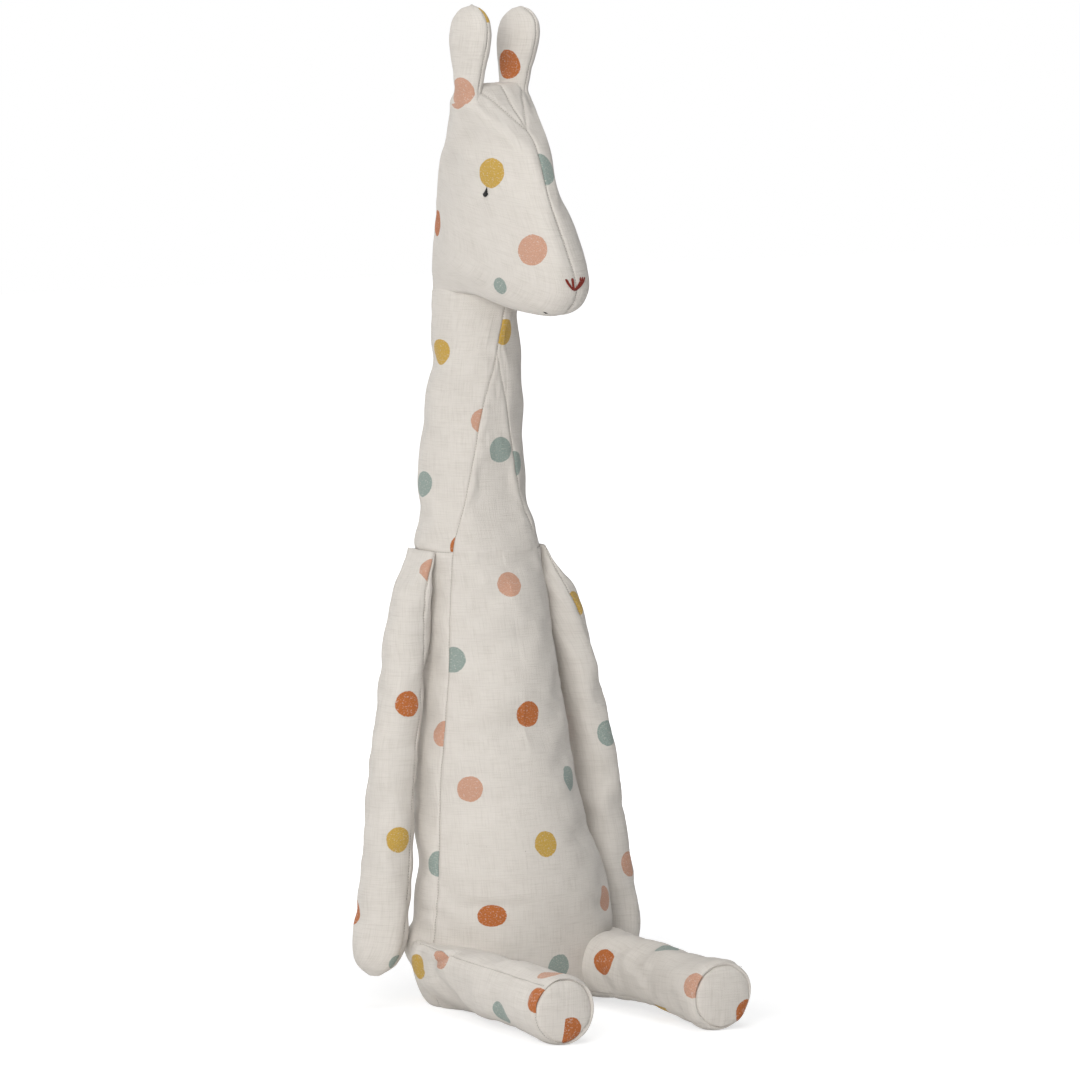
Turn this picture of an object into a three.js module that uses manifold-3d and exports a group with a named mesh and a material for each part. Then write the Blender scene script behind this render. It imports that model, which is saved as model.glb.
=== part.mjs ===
// A seated plush giraffe: a bell-shaped body that narrows into a long neck, a turned head with
// two ears, two hanging arms and two legs that lie forward on the floor. Each form is a skin of
// sewn cloth panels round a filling. Millimetres, +Z up, facing -Y, with the origin under the
// middle of the flat seat. "Left" is the toy's own left, at +X.
import * as THREE from "three";
import { mergeVertices } from "three/addons/utils/BufferGeometryUtils.js";
import Module from "manifold-3d";

const wasm = await Module();
wasm.setup();

// Cloth, seams and clearances
const clothThickness = 0.8;
const seamGap = 0.3;
const fillingEase = 1.2;
const overrun = 1000;
const footFlat = 0.5;

// Body and neck
const neckTopHeight = 549;
const shoulderHeight = 349;
const gussetTopHeight = 500;
const neckRadius = 33;
const baseHalfWidth = 76.5;
const baseHalfDepth = 61;
const neckSetBack = 48;

// Head, in its own frame: forward of the neck axis and above the neck seam
const headHeight = 157;
const headReach = 114;
const headBackReach = 37;
const headHalfWidth = 33;
const chinDrop = 14;
const headTurn = THREE.MathUtils.degToRad(13);
const crownHalfWidth = 22;
const crownFront = 57;
const crownBack = 26;
const nodRange = THREE.MathUtils.degToRad(12);

// Face stitches
const eyeHalfHeight = 3.9;
const eyeHalfWidth = 2.2;
const eyeRise = 1.1;
const eyeForward = 41;
const eyeHeight = 83;
const noseThreadRadius = 0.9;
const noseKnotRadius = 1.3;
const noseHalfWidth = 6;
const noseStitchHeight = 10;
const nosePointHeight = 12;
const mouthThreadRadius = 0.6;
const mouthLength = 4;
const mouthForward = 90;
const mouthSide = 9;

// Ears: half-width to the front and back, half-thickness to the sides
const earLength = 82.3;
const earHalfWidth = 20;
const earHalfThickness = 11;
const earSpread = 25;
const earForward = 16;
const earSink = 14;
const earTipForward = 5;
const leftEarSplay = 2.5;
const rightEarLean = 1.5;
const earOutRange = THREE.MathUtils.degToRad(22);
const earInRange = THREE.MathUtils.degToRad(8);

// Arms
const armRadius = 19.5;
const armDrop = 322;
const armSpread = 60;
const armForward = 33;

// Legs
const legRootRadius = 28;
const legRadius = 26.5;
const soleRadius = 24.5;
const soleDome = 3;
const legSpread = 65;
const footSpread = 68.5;
const footReach = 207;
const hipReach = 53;
const hipHeight = 25;
const hipZoneHeight = 150;
const legRootReach = 14;
const legDropRange = THREE.MathUtils.degToRad(85);
const legLiftRange = THREE.MathUtils.degToRad(10);

// Facets round each form and along it
const bodySides = 16;
const headSides = 14;
const limbSides = 10;
const earSides = 8;
const threadSides = 6;
const eyeSides = 8;
const noseStrokeSteps = 3;
const crownEdgeSteps = 2;
const hipAngleSteps = 7;

// Height, width, depth and forward place of the body's sections, from the floor up
const bodyShares = [
  [0, 0.72, 0.54, 0.98],
  [0.013, 0.86, 0.75, 0.99],
  [0.036, 0.955, 0.91, 1],
  [0.08, 1, 1, 1],
  [0.13, 0.985, 0.964, 1],
  [0.182, 0.93, 0.893, 0.98],
  [0.291, 0.79, 0.786, 0.75],
  [0.455, 0.56, 0.625, 0.44],
  [0.636, 0.356, 0.36, 0.03],
  [0.709, 0.23, 0.16, -0.1],
  [0.788, 0.138, 0.089, -0.115],
  [0.858, 0.08, 0.057, -0.09],
  [0.91, 0.018, 0.018, -0.025],
  [1, 0, 0, 0],
];
const bodyStepShares = [0, 0.015, 0.05, 0.12, 0.24, 0.4, 0.57, 0.76, 1];

// Height and half-width of the front gusset, which widens from its point to the floor
const gussetShares = [
  [0, 0.99],
  [0.2, 0.95],
  [0.45, 0.9],
  [0.7, 0.76],
  [0.78, 0.56],
  [0.85, 0.42],
  [0.93, 0.25],
  [1, 0.01],
];

// Sections of the head from the neck seam to the crown: step, forward and height of its back
// end, forward and height of its front end, half-width, and how much narrower its front is
const headShares = [
  [0, -0.89, 0, 0.29, 0, 1, 0],
  [0.07, -0.92, 0.077, 0.42, -0.03, 1, 0],
  [0.14, -0.935, 0.142, 0.6, -0.066, 1, 0.02],
  [0.22, -0.95, 0.206, 0.82, -0.074, 1, 0.03],
  [0.31, -0.96, 0.27, 0.955, -0.02, 0.98, 0.04],
  [0.41, -0.96, 0.35, 1, 0.09, 0.96, 0.05],
  [0.52, -0.93, 0.465, 0.905, 0.3, 0.92, 0.05],
  [0.63, -0.83, 0.595, 0.78, 0.5, 0.92, 0.04],
  [0.75, -0.64, 0.73, 0.665, 0.7, 0.94, 0.02],
  [0.85, -0.44, 0.86, 0.53, 0.865, 0.95, 0],
  [0.93, -0.14, 0.955, 0.42, 0.945, 0.9, 0],
  [1, 0.3, 1, 0.25, 1, 0.62, 0],
];
const headStepShares = [0, 0.07, 0.15, 0.25, 0.36, 0.47, 0.59, 0.72, 0.84, 0.93, 1];
// How blunt the head's sections are: powers of the sine and the cosine round them
const headSidePower = 0.75;
const headFrontPower = 0.8;

// Places along an arm's middle line: step, outward, forward and down
const armLineShares = [
  [0, 0, 0, 0],
  [0.112, 0.275, 0.4, 0.112],
  [0.348, 0.53, 0.66, 0.348],
  [0.584, 0.77, 0.8, 0.584],
  [1, 1, 1, 1],
];
// Half-thickness outward and half-width forward along an arm: flat where it is sewn in
const armShares = [
  [0, 0.12, 1.25],
  [0.04, 0.42, 1.15],
  [0.09, 0.74, 0.96],
  [0.16, 0.86, 0.88],
  [0.32, 0.88, 0.88],
  [0.6, 0.95, 0.95],
  [0.84, 1, 1],
  [0.93, 0.93, 0.93],
  [0.975, 0.66, 0.66],
  [1, 0.22, 0.22],
];
const armStepShares = [0, 0.04, 0.1, 0.3, 0.6, 0.87, 0.96, 1];
const armSeamShare = 0.09;
const armFillingStart = 2;

// How far a leg's radius has gone from its root to its foot
const legShares = [
  [0, 0],
  [0.35, 0.45],
  [0.6, 0.9],
  [0.8, 1],
  [1, 1],
];
const legStepShares = [0, 0.35, 0.65, 0.92];
const soleEdgeShare = 0.97;
// A sole's dome: share of its radius and of its height where it bends
const soleBendShares = [0.6, 0.7];

// Half-width and half-thickness along an ear
const earShares = [
  [0, 0.64, 0.8],
  [0.2, 0.64, 0.8],
  [0.38, 0.74, 0.87],
  [0.58, 0.92, 1],
  [0.72, 1, 1],
  [0.84, 0.9, 0.86],
  [0.92, 0.68, 0.62],
  [0.97, 0.42, 0.36],
  [1, 0.12, 0.1],
];
const earStepShares = [0, 0.3, 0.55, 0.76, 0.92, 1];

// Control points of the crown gusset's edge, as shares of its half-width and its ends' reach:
// the bend behind its front point, its straight part at the ear, and the bend to its back point
const crownFrontBendShares = [0.62, 0.67];
const crownBackBendShares = [0.8, 0.54];

// Nose strokes from their meeting point up: sideways and height
const noseStrokeShares = [
  [[0, 0], [-0.9, 1]],
  [[0, 0], [-0.25, 1.1]],
  [[0, 0], [0.7, 0.45], [0.95, 1.15]],
];

const cloth = new THREE.MeshStandardMaterial({ color: 0xd6d1c9, roughness: 0.95, metalness: 0 });
const soleCloth = new THREE.MeshStandardMaterial({ color: 0xcfcac2, roughness: 0.95, metalness: 0 });
const fibre = new THREE.MeshStandardMaterial({ color: 0xf2f2f0, roughness: 1, metalness: 0 });
const darkThread = new THREE.MeshStandardMaterial({ color: 0x17120f, roughness: 0.7, metalness: 0 });
const redThread = new THREE.MeshStandardMaterial({ color: 0x6e1400, roughness: 0.7, metalness: 0 });

// The columns of a table at a place in its first column, on a smooth curve through its rows
function rowAt(table, place) {
  let i = 0;
  while (i < table.length - 2 && place > table[i + 1][0]) i++;
  const span = table[i + 1][0] - table[i][0];
  const t = (place - table[i][0]) / span;
  const slope = (j, column) => {
    const before = table[Math.max(j - 1, 0)];
    const after = table[Math.min(j + 1, table.length - 1)];
    return (after[column] - before[column]) / (after[0] - before[0]);
  };
  return table[i].slice(1).map((from, k) => {
    const to = table[i + 1][k + 1];
    const turn = t * t * (3 - 2 * t);
    const leave = t * (1 - t) * (1 - t) * span * slope(i, k + 1);
    const arrive = t * t * (t - 1) * span * slope(i + 1, k + 1);
    return from + (to - from) * turn + leave + arrive;
  });
}

// Rings of points moved along the surface normal, inward where the distance is over zero
function inset(rings, distance) {
  return rings.map((ring, i) => {
    const below = rings[Math.max(i - 1, 0)];
    const above = rings[Math.min(i + 1, rings.length - 1)];
    return ring.map((point, j) => {
      const n = ring.length;
      const round = ring[(j + 1) % n].clone().sub(ring[(j + n - 1) % n]);
      const along = above[j].clone().sub(below[j]);
      const normal = round.cross(along).normalize();
      return point.clone().addScaledVector(normal, -distance);
    });
  });
}

// The same rings with one more beyond each end that is named, so that a cut runs through
function extended(rings, start, end) {
  const all = [...rings];
  if (start) all.unshift(rings[0].map((p) => p.clone().add(start)));
  if (end) all.push(rings[rings.length - 1].map((p) => p.clone().add(end)));
  return all;
}

// A closed geometry through rings of equal count, with a flat fan on each end
function loft(rings) {
  const n = rings[0].length;
  const middle = (ring) =>
    ring.reduce((sum, p) => sum.add(p), new THREE.Vector3()).divideScalar(n);
  const points = [...rings.flat(), middle(rings[0]), middle(rings[rings.length - 1])];
  const first = rings.length * n;
  const last = first + 1;
  const faces = [];
  for (let j = 0; j < n; j++) {
    const k = (j + 1) % n;
    faces.push(first, k, j, last, (rings.length - 1) * n + j, (rings.length - 1) * n + k);
    for (let i = 0; i < rings.length - 1; i++) {
      const a = i * n + j;
      const b = i * n + k;
      faces.push(a, b, b + n, a, b + n, a + n);
    }
  }
  const geometry = new THREE.BufferGeometry().setFromPoints(points);
  geometry.setIndex(faces);
  return geometry;
}

// A closed three.js geometry as a solid that can be joined and cut
function solidOf(geometry) {
  const bare = geometry.clone();
  bare.deleteAttribute("normal");
  bare.deleteAttribute("uv");
  const merged = mergeVertices(bare, clothThickness / 1000);
  return new wasm.Manifold(
    new wasm.Mesh({
      numProp: 3,
      vertProperties: new Float32Array(merged.attributes.position.array),
      triVerts: new Uint32Array(merged.index.array),
    }),
  );
}

// A solid back as a three.js geometry
function geometryOf(solid) {
  const mesh = solid.getMesh();
  const geometry = new THREE.BufferGeometry();
  geometry.setAttribute("position", new THREE.BufferAttribute(mesh.vertProperties, 3));
  geometry.setIndex(new THREE.BufferAttribute(mesh.triVerts, 1));
  return geometry;
}

const loftSolid = (rings) => solidOf(loft(rings));

// Everything on one side of a plane through a point, the side its direction points to
function halfSpace(point, direction) {
  const box = new THREE.BoxGeometry(2 * overrun, 2 * overrun, 2 * overrun);
  const turn = new THREE.Quaternion();
  turn.setFromUnitVectors(new THREE.Vector3(0, 0, 1), direction.clone().normalize());
  box.translate(0, 0, overrun);
  box.applyQuaternion(turn);
  box.translate(point.x, point.y, point.z);
  return solidOf(box);
}

// The two halves of a shell on each side of a plane, half a seam gap off it
function halves(shell, point, direction) {
  const unit = direction.clone().normalize();
  const cut = (sign) => {
    const start = point.clone().addScaledVector(unit, (sign * seamGap) / 2);
    return shell.intersect(halfSpace(start, unit.clone().multiplyScalar(sign)));
  };
  return [cut(1), cut(-1)];
}

// A solid turned about an axis through a point
function turned(solid, pivot, axis, angle) {
  const matrix = new THREE.Matrix4().makeTranslation(pivot.x, pivot.y, pivot.z);
  matrix.multiply(new THREE.Matrix4().makeRotationAxis(axis.clone().normalize(), angle));
  matrix.multiply(new THREE.Matrix4().makeTranslation(-pivot.x, -pivot.y, -pivot.z));
  return solid.transform(matrix.elements);
}

// What a moving piece has to stay out of: a fixed solid seen from the piece at each angle
function swept(fixed, pivot, axis, angles) {
  return angles.map((angle) => turned(fixed, pivot, axis, -angle)).reduce((a, b) => a.add(b));
}

const meshes = [];
const addNode = (name, solid, material) => {
  const mesh = new THREE.Mesh(geometryOf(solid), material);
  mesh.name = name;
  meshes.push(mesh);
};
const mirrored = (solid) => solid.mirror([1, 0, 0]);
const addPair = (name, solid, material) => {
  addNode(name + "_left", solid, material);
  addNode(name + "_right", mirrored(solid), material);
};

// Body sections
function bodySection(height) {
  const [width, depth, forward] = rowAt(bodyShares, height / neckTopHeight);
  return {
    halfWidth: neckRadius + (baseHalfWidth - neckRadius) * width,
    halfDepth: neckRadius + (baseHalfDepth - neckRadius) * depth,
    middle: neckSetBack * (1 - forward),
  };
}

function bodyRing(height) {
  const { halfWidth, halfDepth, middle } = bodySection(height);
  return Array.from({ length: bodySides }, (_, j) => {
    const angle = ((j + 0.5) / bodySides) * 2 * Math.PI;
    return new THREE.Vector3(
      halfWidth * Math.sin(angle),
      middle - halfDepth * Math.cos(angle),
      height,
    );
  });
}

const bodyRings = bodyStepShares.map((share) => bodyRing(share * neckTopHeight));
const neckPivot = new THREE.Vector3(0, neckSetBack, neckTopHeight);
const up = new THREE.Vector3(0, 0, 1);
const toLeft = new THREE.Vector3(1, 0, 0);

// The neck's filling ends in a dome inside the head, round the point that the head nods about
const fillingInset = clothThickness + fillingEase;
const domeRadius = neckRadius - fillingInset;
const domeShares = [0.45, 0.85, 0.99];
function withDome(rings) {
  const dome = domeShares.map((share) =>
    neckCircle(domeRadius * Math.sqrt(1 - share * share), domeRadius * share),
  );
  return [...rings, ...dome];
}

// A circle round the neck's axis, at a height over the neck seam
function neckCircle(radius, rise) {
  return Array.from({ length: bodySides }, (_, j) => {
    const angle = ((j + 0.5) / bodySides) * 2 * Math.PI;
    return new THREE.Vector3(
      radius * Math.sin(angle),
      neckSetBack - radius * Math.cos(angle),
      neckTopHeight + rise,
    );
  });
}

const raisedTo = (rings, height) =>
  rings.map((ring) =>
    ring.map((p) => new THREE.Vector3(p.x, p.y, Math.max(p.z, height))),
  );

// The body's whole outer form, and the same form a seam gap larger for cutting its neighbours
const farUp = up.clone().multiplyScalar(overrun);
const farDown = farUp.clone().negate();
const bodyClearance = loftSolid(extended(inset(bodyRings, -seamGap), farDown));
const bodyForm = loftSolid(bodyRings);
const bodyHollow = loftSolid(extended(inset(bodyRings, clothThickness), farDown, farUp));
const bodyShell = bodyForm.subtract(bodyHollow);

// A cutter in front of the body's middle, as wide as the gusset at each height
function gussetCutter(ease) {
  return loftSolid(
    gussetShares.map(([share, wide], i) => {
      const height = share * gussetTopHeight;
      const { halfWidth, middle } = bodySection(height);
      const side = halfWidth * wide + ease;
      const lift = i === 0 ? -seamGap : i === gussetShares.length - 1 ? ease : 0;
      return [
        new THREE.Vector3(-side, -overrun, height + lift),
        new THREE.Vector3(side, -overrun, height + lift),
        new THREE.Vector3(side, middle, height + lift),
        new THREE.Vector3(-side, middle, height + lift),
      ];
    }),
  );
}

function addBody() {
  addNode("front_gusset", bodyShell.intersect(gussetCutter(0)), cloth);
  const sides = bodyShell.subtract(gussetCutter(seamGap));
  const [leftSide] = halves(sides, new THREE.Vector3(), toLeft);
  const shoulder = new THREE.Vector3(0, 0, shoulderHeight);
  const [neckPanel, sidePanel] = halves(leftSide, shoulder, up);
  addPair("neck_panel", neckPanel, cloth);
  addPair("side_panel", sidePanel, cloth);

  const seatEdge = inset([bodyRings[0], bodyRings[1]], clothThickness + seamGap)[0];
  const seatRing = (height) => seatEdge.map((p) => new THREE.Vector3(p.x, p.y, height));
  addNode("seat_panel", loftSolid([seatRing(0), seatRing(clothThickness)]), cloth);

  const filling = raisedTo(inset(bodyRings, fillingInset), fillingInset);
  addNode("torso_filling", loftSolid(withDome(filling)), fibre);
}

const blunted = (value, power) => Math.sign(value) * Math.abs(value) ** power;

// Head sections, each a ring that tilts between its back end and its front end
function headRing(step) {
  const [backShare, backUp, frontShare, frontUp, wide, narrowing] = rowAt(headShares, step);
  const rise = (share) => (share < 0 ? (share * chinDrop) / -headShares[3][4] : share * headHeight);
  const back = headBackReach * backShare;
  const front = headReach * frontShare;
  const reach = (front - back) / 2;
  return Array.from({ length: headSides }, (_, j) => {
    const angle = ((j + 0.5) / headSides) * 2 * Math.PI;
    const ahead = blunted(Math.cos(angle), Math.cos(angle) > 0 ? headFrontPower : 1);
    const place = (1 + ahead) / 2;
    const width = headHalfWidth * wide * (1 - narrowing * place);
    return new THREE.Vector3(
      width * blunted(Math.sin(angle), headSidePower),
      -(back + reach * (1 + ahead)),
      rise(backUp) + (rise(frontUp) - rise(backUp)) * place,
    );
  });
}

const headRings = headStepShares.map(headRing);
const nodAxis = new THREE.Vector3(1, 0, 0);

// The neck seen from the head's frame: a ball round the dome, and the body at each nod
const toHead = new THREE.Matrix4()
  .makeRotationZ(-headTurn)
  .multiply(new THREE.Matrix4().makeTranslation(-neckPivot.x, -neckPivot.y, -neckPivot.z));
const neckEase = 2 * seamGap;
const ballRadius = (domeRadius + seamGap) / Math.cos(Math.PI / bodySides) ** 2;
const neckTopEase = new THREE.Vector3(0, 0, seamGap);
const neck = loftSolid(extended(inset(bodyRings, -neckEase), null, neckTopEase));
const ball = solidOf(new THREE.SphereGeometry(ballRadius, bodySides, bodySides / 2));
const nods = [-nodRange, 0, nodRange];
const neckInHead = neck.transform(toHead.elements);
const neckSweep = swept(neckInHead, new THREE.Vector3(), nodAxis, nods).add(ball);
const headForm = loftSolid(headRings);
const headClearance = loftSolid(inset(headRings, -seamGap));
const fromHead = toHead.clone().invert();

const addHeadNode = (name, solid, material) =>
  addNode(name, solid.transform(fromHead.elements), material);
const addHeadPair = (name, solid, material) => {
  addHeadNode(name + "_left", solid, material);
  addHeadNode(name + "_right", mirrored(solid), material);
};

// The lens between the ears, seen from above, that the crown gusset fills
function crownCutter(ease) {
  const side = crownHalfWidth + ease;
  const frontPoint = crownFront + ease;
  const backPoint = crownBack + ease;
  const straight = earHalfWidth / 2;
  const [frontBend, frontReach] = crownFrontBendShares;
  const [backBend, backReach] = crownBackBendShares;
  const outline = new THREE.Shape();
  outline.moveTo(0, -frontPoint);
  outline.quadraticCurveTo(side * frontBend, -frontPoint * frontReach, side, -earForward - straight);
  outline.lineTo(side, -earForward + straight);
  outline.quadraticCurveTo(side * backBend, backPoint * backReach, 0, backPoint);
  outline.quadraticCurveTo(-side * backBend, backPoint * backReach, -side, -earForward + straight);
  outline.lineTo(-side, -earForward - straight);
  outline.quadraticCurveTo(-side * frontBend, -frontPoint * frontReach, 0, -frontPoint);
  const prism = new THREE.ExtrudeGeometry(outline, {
    depth: headHeight,
    bevelEnabled: false,
    curveSegments: crownEdgeSteps,
  });
  return solidOf(prism.translate(0, 0, headHeight / 2 - ease));
}

// Where a straight line first meets the head
const headMesh = new THREE.Mesh(loft(headRings));
function onHead(start, direction) {
  const hits = new THREE.Raycaster(start, direction.clone().normalize()).intersectObject(headMesh);
  return hits[0].point;
}

// A thread laid along points, its round section swept between them
function thread(points, radius) {
  const section = new THREE.Shape().absarc(0, 0, radius, 0, 2 * Math.PI);
  const path = new THREE.CatmullRomCurve3(points);
  return solidOf(
    new THREE.ExtrudeGeometry(section, {
      steps: points.length,
      curveSegments: threadSides / 2,
      extrudePath: path,
    }),
  );
}

function addFace() {
  const outward = toLeft.clone().negate();
  const seat = onHead(new THREE.Vector3(overrun, -eyeForward, eyeHeight), outward);
  const ball = new THREE.SphereGeometry(1, eyeSides, eyeSides / 2).scale(eyeRise, eyeHalfWidth, eyeHalfHeight);
  ball.translate(seat.x, seat.y, seat.z);
  addHeadPair("eye", solidOf(ball).subtract(headClearance), darkThread);

  const inward = new THREE.Vector3(0, 1, 0);
  const strokes = noseStrokeShares.map((stroke) => {
    const line = new THREE.SplineCurve(stroke.map(([side, rise]) => new THREE.Vector2(side, rise)));
    const points = line.getPoints(noseStrokeSteps).map(({ x, y }) => {
      const height = nosePointHeight + y * noseStitchHeight;
      return onHead(new THREE.Vector3(x * noseHalfWidth, -overrun, height), inward);
    });
    points.forEach((p) => p.add(new THREE.Vector3(0, -noseThreadRadius / 2, 0)));
    return thread(points, noseThreadRadius);
  });
  const meeting = onHead(new THREE.Vector3(0, -overrun, nosePointHeight), inward);
  const knot = new THREE.SphereGeometry(noseKnotRadius, threadSides, threadSides / 2);
  knot.translate(meeting.x, meeting.y - noseThreadRadius / 2, meeting.z);
  const nose = strokes.reduce((a, b) => a.add(b)).add(solidOf(knot)).subtract(headClearance);
  addHeadNode("nose_stitches", nose, redThread);

  const mouthPoints = [-0.5, 0, 0.5].map((share) => {
    const start = new THREE.Vector3(-mouthSide, -mouthForward - share * mouthLength, -overrun);
    return onHead(start, up).add(new THREE.Vector3(0, 0, -mouthThreadRadius / 2));
  });
  const mouth = thread(mouthPoints, mouthThreadRadius).subtract(headClearance);
  addHeadNode("mouth_stitch", mouth, darkThread);
}

function addHead() {
  const openEnd = rowsDown(headRings[0]);
  const hollow = loftSolid([openEnd, ...inset(headRings, clothThickness)]);
  const shell = headForm.subtract(hollow).subtract(neckSweep);
  const [crown] = halves(shell.intersect(crownCutter(0)), new THREE.Vector3(), toLeft);
  const [cheek] = halves(shell.subtract(crownCutter(seamGap)), new THREE.Vector3(), toLeft);
  addHeadPair("head_panel", largest(cheek), cloth);
  addHeadPair("crown_gusset", largest(crown), cloth);
  addHeadNode("head_filling", loftSolid(inset(headRings, fillingInset)).subtract(neckSweep), fibre);
  addFace();
}

// A head ring's inner edge carried down past the neck seam
function rowsDown(ring) {
  return inset([ring, headRings[1]], clothThickness)[0].map(
    (p) => new THREE.Vector3(p.x, p.y, p.z - headHeight),
  );
}

// An ear stands on the head, its broad faces to the sides and its seams to the front and back
const earTop = onHead(new THREE.Vector3(earSpread, -earForward, overrun), up.clone().negate());
const earPivot = new THREE.Vector3(earSpread, -earForward, earTop.z);

function earRings(lean, distance) {
  const rings = earStepShares.map((step) => {
    const [wide, thick] = rowAt(earShares, step);
    return Array.from({ length: earSides }, (_, j) => {
      const angle = (j / earSides) * 2 * Math.PI;
      return new THREE.Vector3(
        earSpread - step * lean + earHalfThickness * thick * Math.cos(angle),
        -earForward - step * earTipForward + earHalfWidth * wide * Math.sin(angle),
        earPivot.z - earSink + step * earLength,
      );
    });
  });
  return distance ? inset(rings, distance) : rings;
}

// Both ears are built on the left side, and the right one is mirrored. An ear folds outward
// and a little inward about a line that runs forward through its base.
function addEars() {
  const angles = [-earInRange, 0, earOutRange / 2, earOutRange];
  const socket = swept(headClearance, earPivot, new THREE.Vector3(0, 1, 0), angles);
  const leans = { left: -leftEarSplay, right: rightEarLean };
  for (const [side, lean] of Object.entries(leans)) {
    const place = side === "left" ? (solid) => solid : mirrored;
    const hollow = loftSolid(earRings(lean, clothThickness));
    const shell = loftSolid(earRings(lean, 0)).subtract(hollow);
    const outward = new THREE.Vector3(earLength, 0, lean);
    const [outer, inner] = halves(shell.subtract(socket), earPivot, outward);
    const filling = loftSolid(earRings(lean, fillingInset)).subtract(socket);
    addHeadNode("ear_outer_" + side, place(largest(outer)), cloth);
    addHeadNode("ear_inner_" + side, place(largest(inner)), cloth);
    addHeadNode("ear_filling_" + side, place(largest(filling)), fibre);
  }
}

// The main body of a solid that a cut left in pieces
function largest(solid) {
  return solid.decompose().sort((a, b) => b.volume() - a.volume())[0];
}

// An arm hangs from the shoulder seam, close to the body's side
const shoulderSection = bodySection(shoulderHeight);
const armPivot = new THREE.Vector3(
  shoulderSection.halfWidth,
  shoulderSection.middle,
  shoulderHeight,
);
const forwardAxis = new THREE.Vector3(0, -1, 0);

function armRings() {
  return armStepShares.map((step) => {
    const [outward, forward, down] = rowAt(armLineShares, step);
    const [thick, wide] = rowAt(armShares, step);
    const middle = armPivot
      .clone()
      .add(new THREE.Vector3(outward * armSpread, -forward * armForward, -down * armDrop));
    return Array.from({ length: limbSides }, (_, j) => {
      const angle = ((j + 0.5) / limbSides) * 2 * Math.PI;
      return middle
        .clone()
        .add(
          new THREE.Vector3(
            armRadius * thick * Math.cos(angle),
            -armRadius * wide * Math.sin(angle),
            0,
          ),
        );
    });
  });
}

function addArms() {
  const rings = armRings();
  const shell = loftSolid(rings).subtract(loftSolid(inset(rings, clothThickness)));
  const slope = new THREE.Vector3(armDrop, 0, armSpread);
  const inArm = armPivot.clone();
  inArm.x += armSpread * armSeamShare;
  const [outer, inner] = halves(shell.subtract(bodyClearance), inArm, slope);
  addPair("arm_outer", largest(outer), cloth);
  addPair("arm_inner", largest(inner), cloth);
  const filledRings = inset(rings, fillingInset).slice(armFillingStart);
  addPair("arm_filling", largest(loftSolid(filledRings).subtract(bodyClearance)), fibre);
}

// A leg lies forward from under the belly and ends in a round sole. The part of the body that
// it turns against is as much larger as the body's facets cut in between two of its angles.
const hipRings = bodyRings.filter((ring) => ring[0].z < hipZoneHeight);
const hipEase = 3 * seamGap;
const hipClearance = loftSolid(inset(hipRings, -hipEase));
const hipPivot = new THREE.Vector3(legSpread, -hipReach, hipHeight);

function legRing(step, radius, lift = 0, back = 0) {
  const middle = new THREE.Vector3(
    legSpread + (footSpread - legSpread) * step,
    back - legRootReach - (footReach - legRootReach) * step,
    radius - footFlat + lift,
  );
  return Array.from({ length: limbSides }, (_, j) => {
    const angle = ((j + 0.5) / limbSides) * 2 * Math.PI;
    return middle
      .clone()
      .add(new THREE.Vector3(radius * Math.cos(angle), 0, radius * Math.sin(angle)));
  });
}

// From the round end beside the body to the rim of the sole
function legRings() {
  const root = [...domeShares].reverse().map((share) => {
    const radius = legRootRadius * Math.sqrt(1 - share * share);
    return legRing(0, radius, legRootRadius - radius, legRootRadius * share);
  });
  const rings = legStepShares.map((step) => {
    const [gone] = rowAt(legShares, step);
    return legRing(step, legRootRadius + (legRadius - legRootRadius) * gone);
  });
  const taper = legRadius - soleRadius;
  const edge = legRing(soleEdgeShare, legRadius - taper / 2, taper / 2);
  return [...root, ...rings, edge, legRing(1, soleRadius, taper)];
}

function addLegs() {
  const rings = legRings();
  const floor = halfSpace(new THREE.Vector3(), up);
  const drops = Array.from({ length: hipAngleSteps }, (_, i) => i / (hipAngleSteps - 1));
  const angles = [-legLiftRange, ...drops.map((share) => share * legDropRange)];
  const clearance = swept(hipClearance, hipPivot, nodAxis, angles);
  const forward = new THREE.Vector3(0, -overrun, 0);
  const hollow = loftSolid(
    raisedTo(extended(inset(rings, clothThickness), null, forward), clothThickness),
  );
  const shell = loftSolid(rings).intersect(floor).subtract(hollow).subtract(clearance);
  const inLeg = new THREE.Vector3(legSpread, -legRootReach, 0);
  const across = new THREE.Vector3(footReach - legRootReach, footSpread - legSpread, 0);
  const [outer, inner] = halves(shell, inLeg, across);
  addPair("leg_outer", largest(outer), cloth);
  addPair("leg_inner", largest(inner), cloth);

  const filling = loftSolid(raisedTo(inset(rings, fillingInset), fillingInset));
  const shortened = filling.subtract(clearance).subtract(soleZone());
  addPair("leg_filling", largest(shortened), fibre);
  addPair("sole", soleSolid(), soleCloth);
}

// The round patch that closes a foot, domed a little forward, inside the leg's open end
const soleRim = soleRadius - clothThickness - seamGap;
const soleMiddleHeight = legRadius - footFlat;

function soleSolid() {
  const [bendOut, bendUp] = soleBendShares;
  const profile = [
    new THREE.Vector2(0, soleDome),
    new THREE.Vector2(soleRim * bendOut, soleDome * bendUp),
    new THREE.Vector2(soleRim, 0),
    new THREE.Vector2(soleRim, -clothThickness),
    new THREE.Vector2(soleRim * bendOut, soleDome * bendUp - clothThickness),
    new THREE.Vector2(0, soleDome - clothThickness),
  ].reverse();
  const firstCorner = Math.PI / 2 + Math.PI / limbSides;
  const dome = new THREE.LatheGeometry(profile, limbSides, firstCorner);
  dome.rotateX(Math.PI);
  return solidOf(dome.translate(footSpread, -footReach + soleDome / 2, soleMiddleHeight));
}

function soleZone() {
  const start = new THREE.Vector3(0, -footReach + soleDome / 2 + clothThickness + seamGap, 0);
  return halfSpace(start, forwardAxis);
}

addBody();
addHead();
addEars();
addArms();
addLegs();

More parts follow.
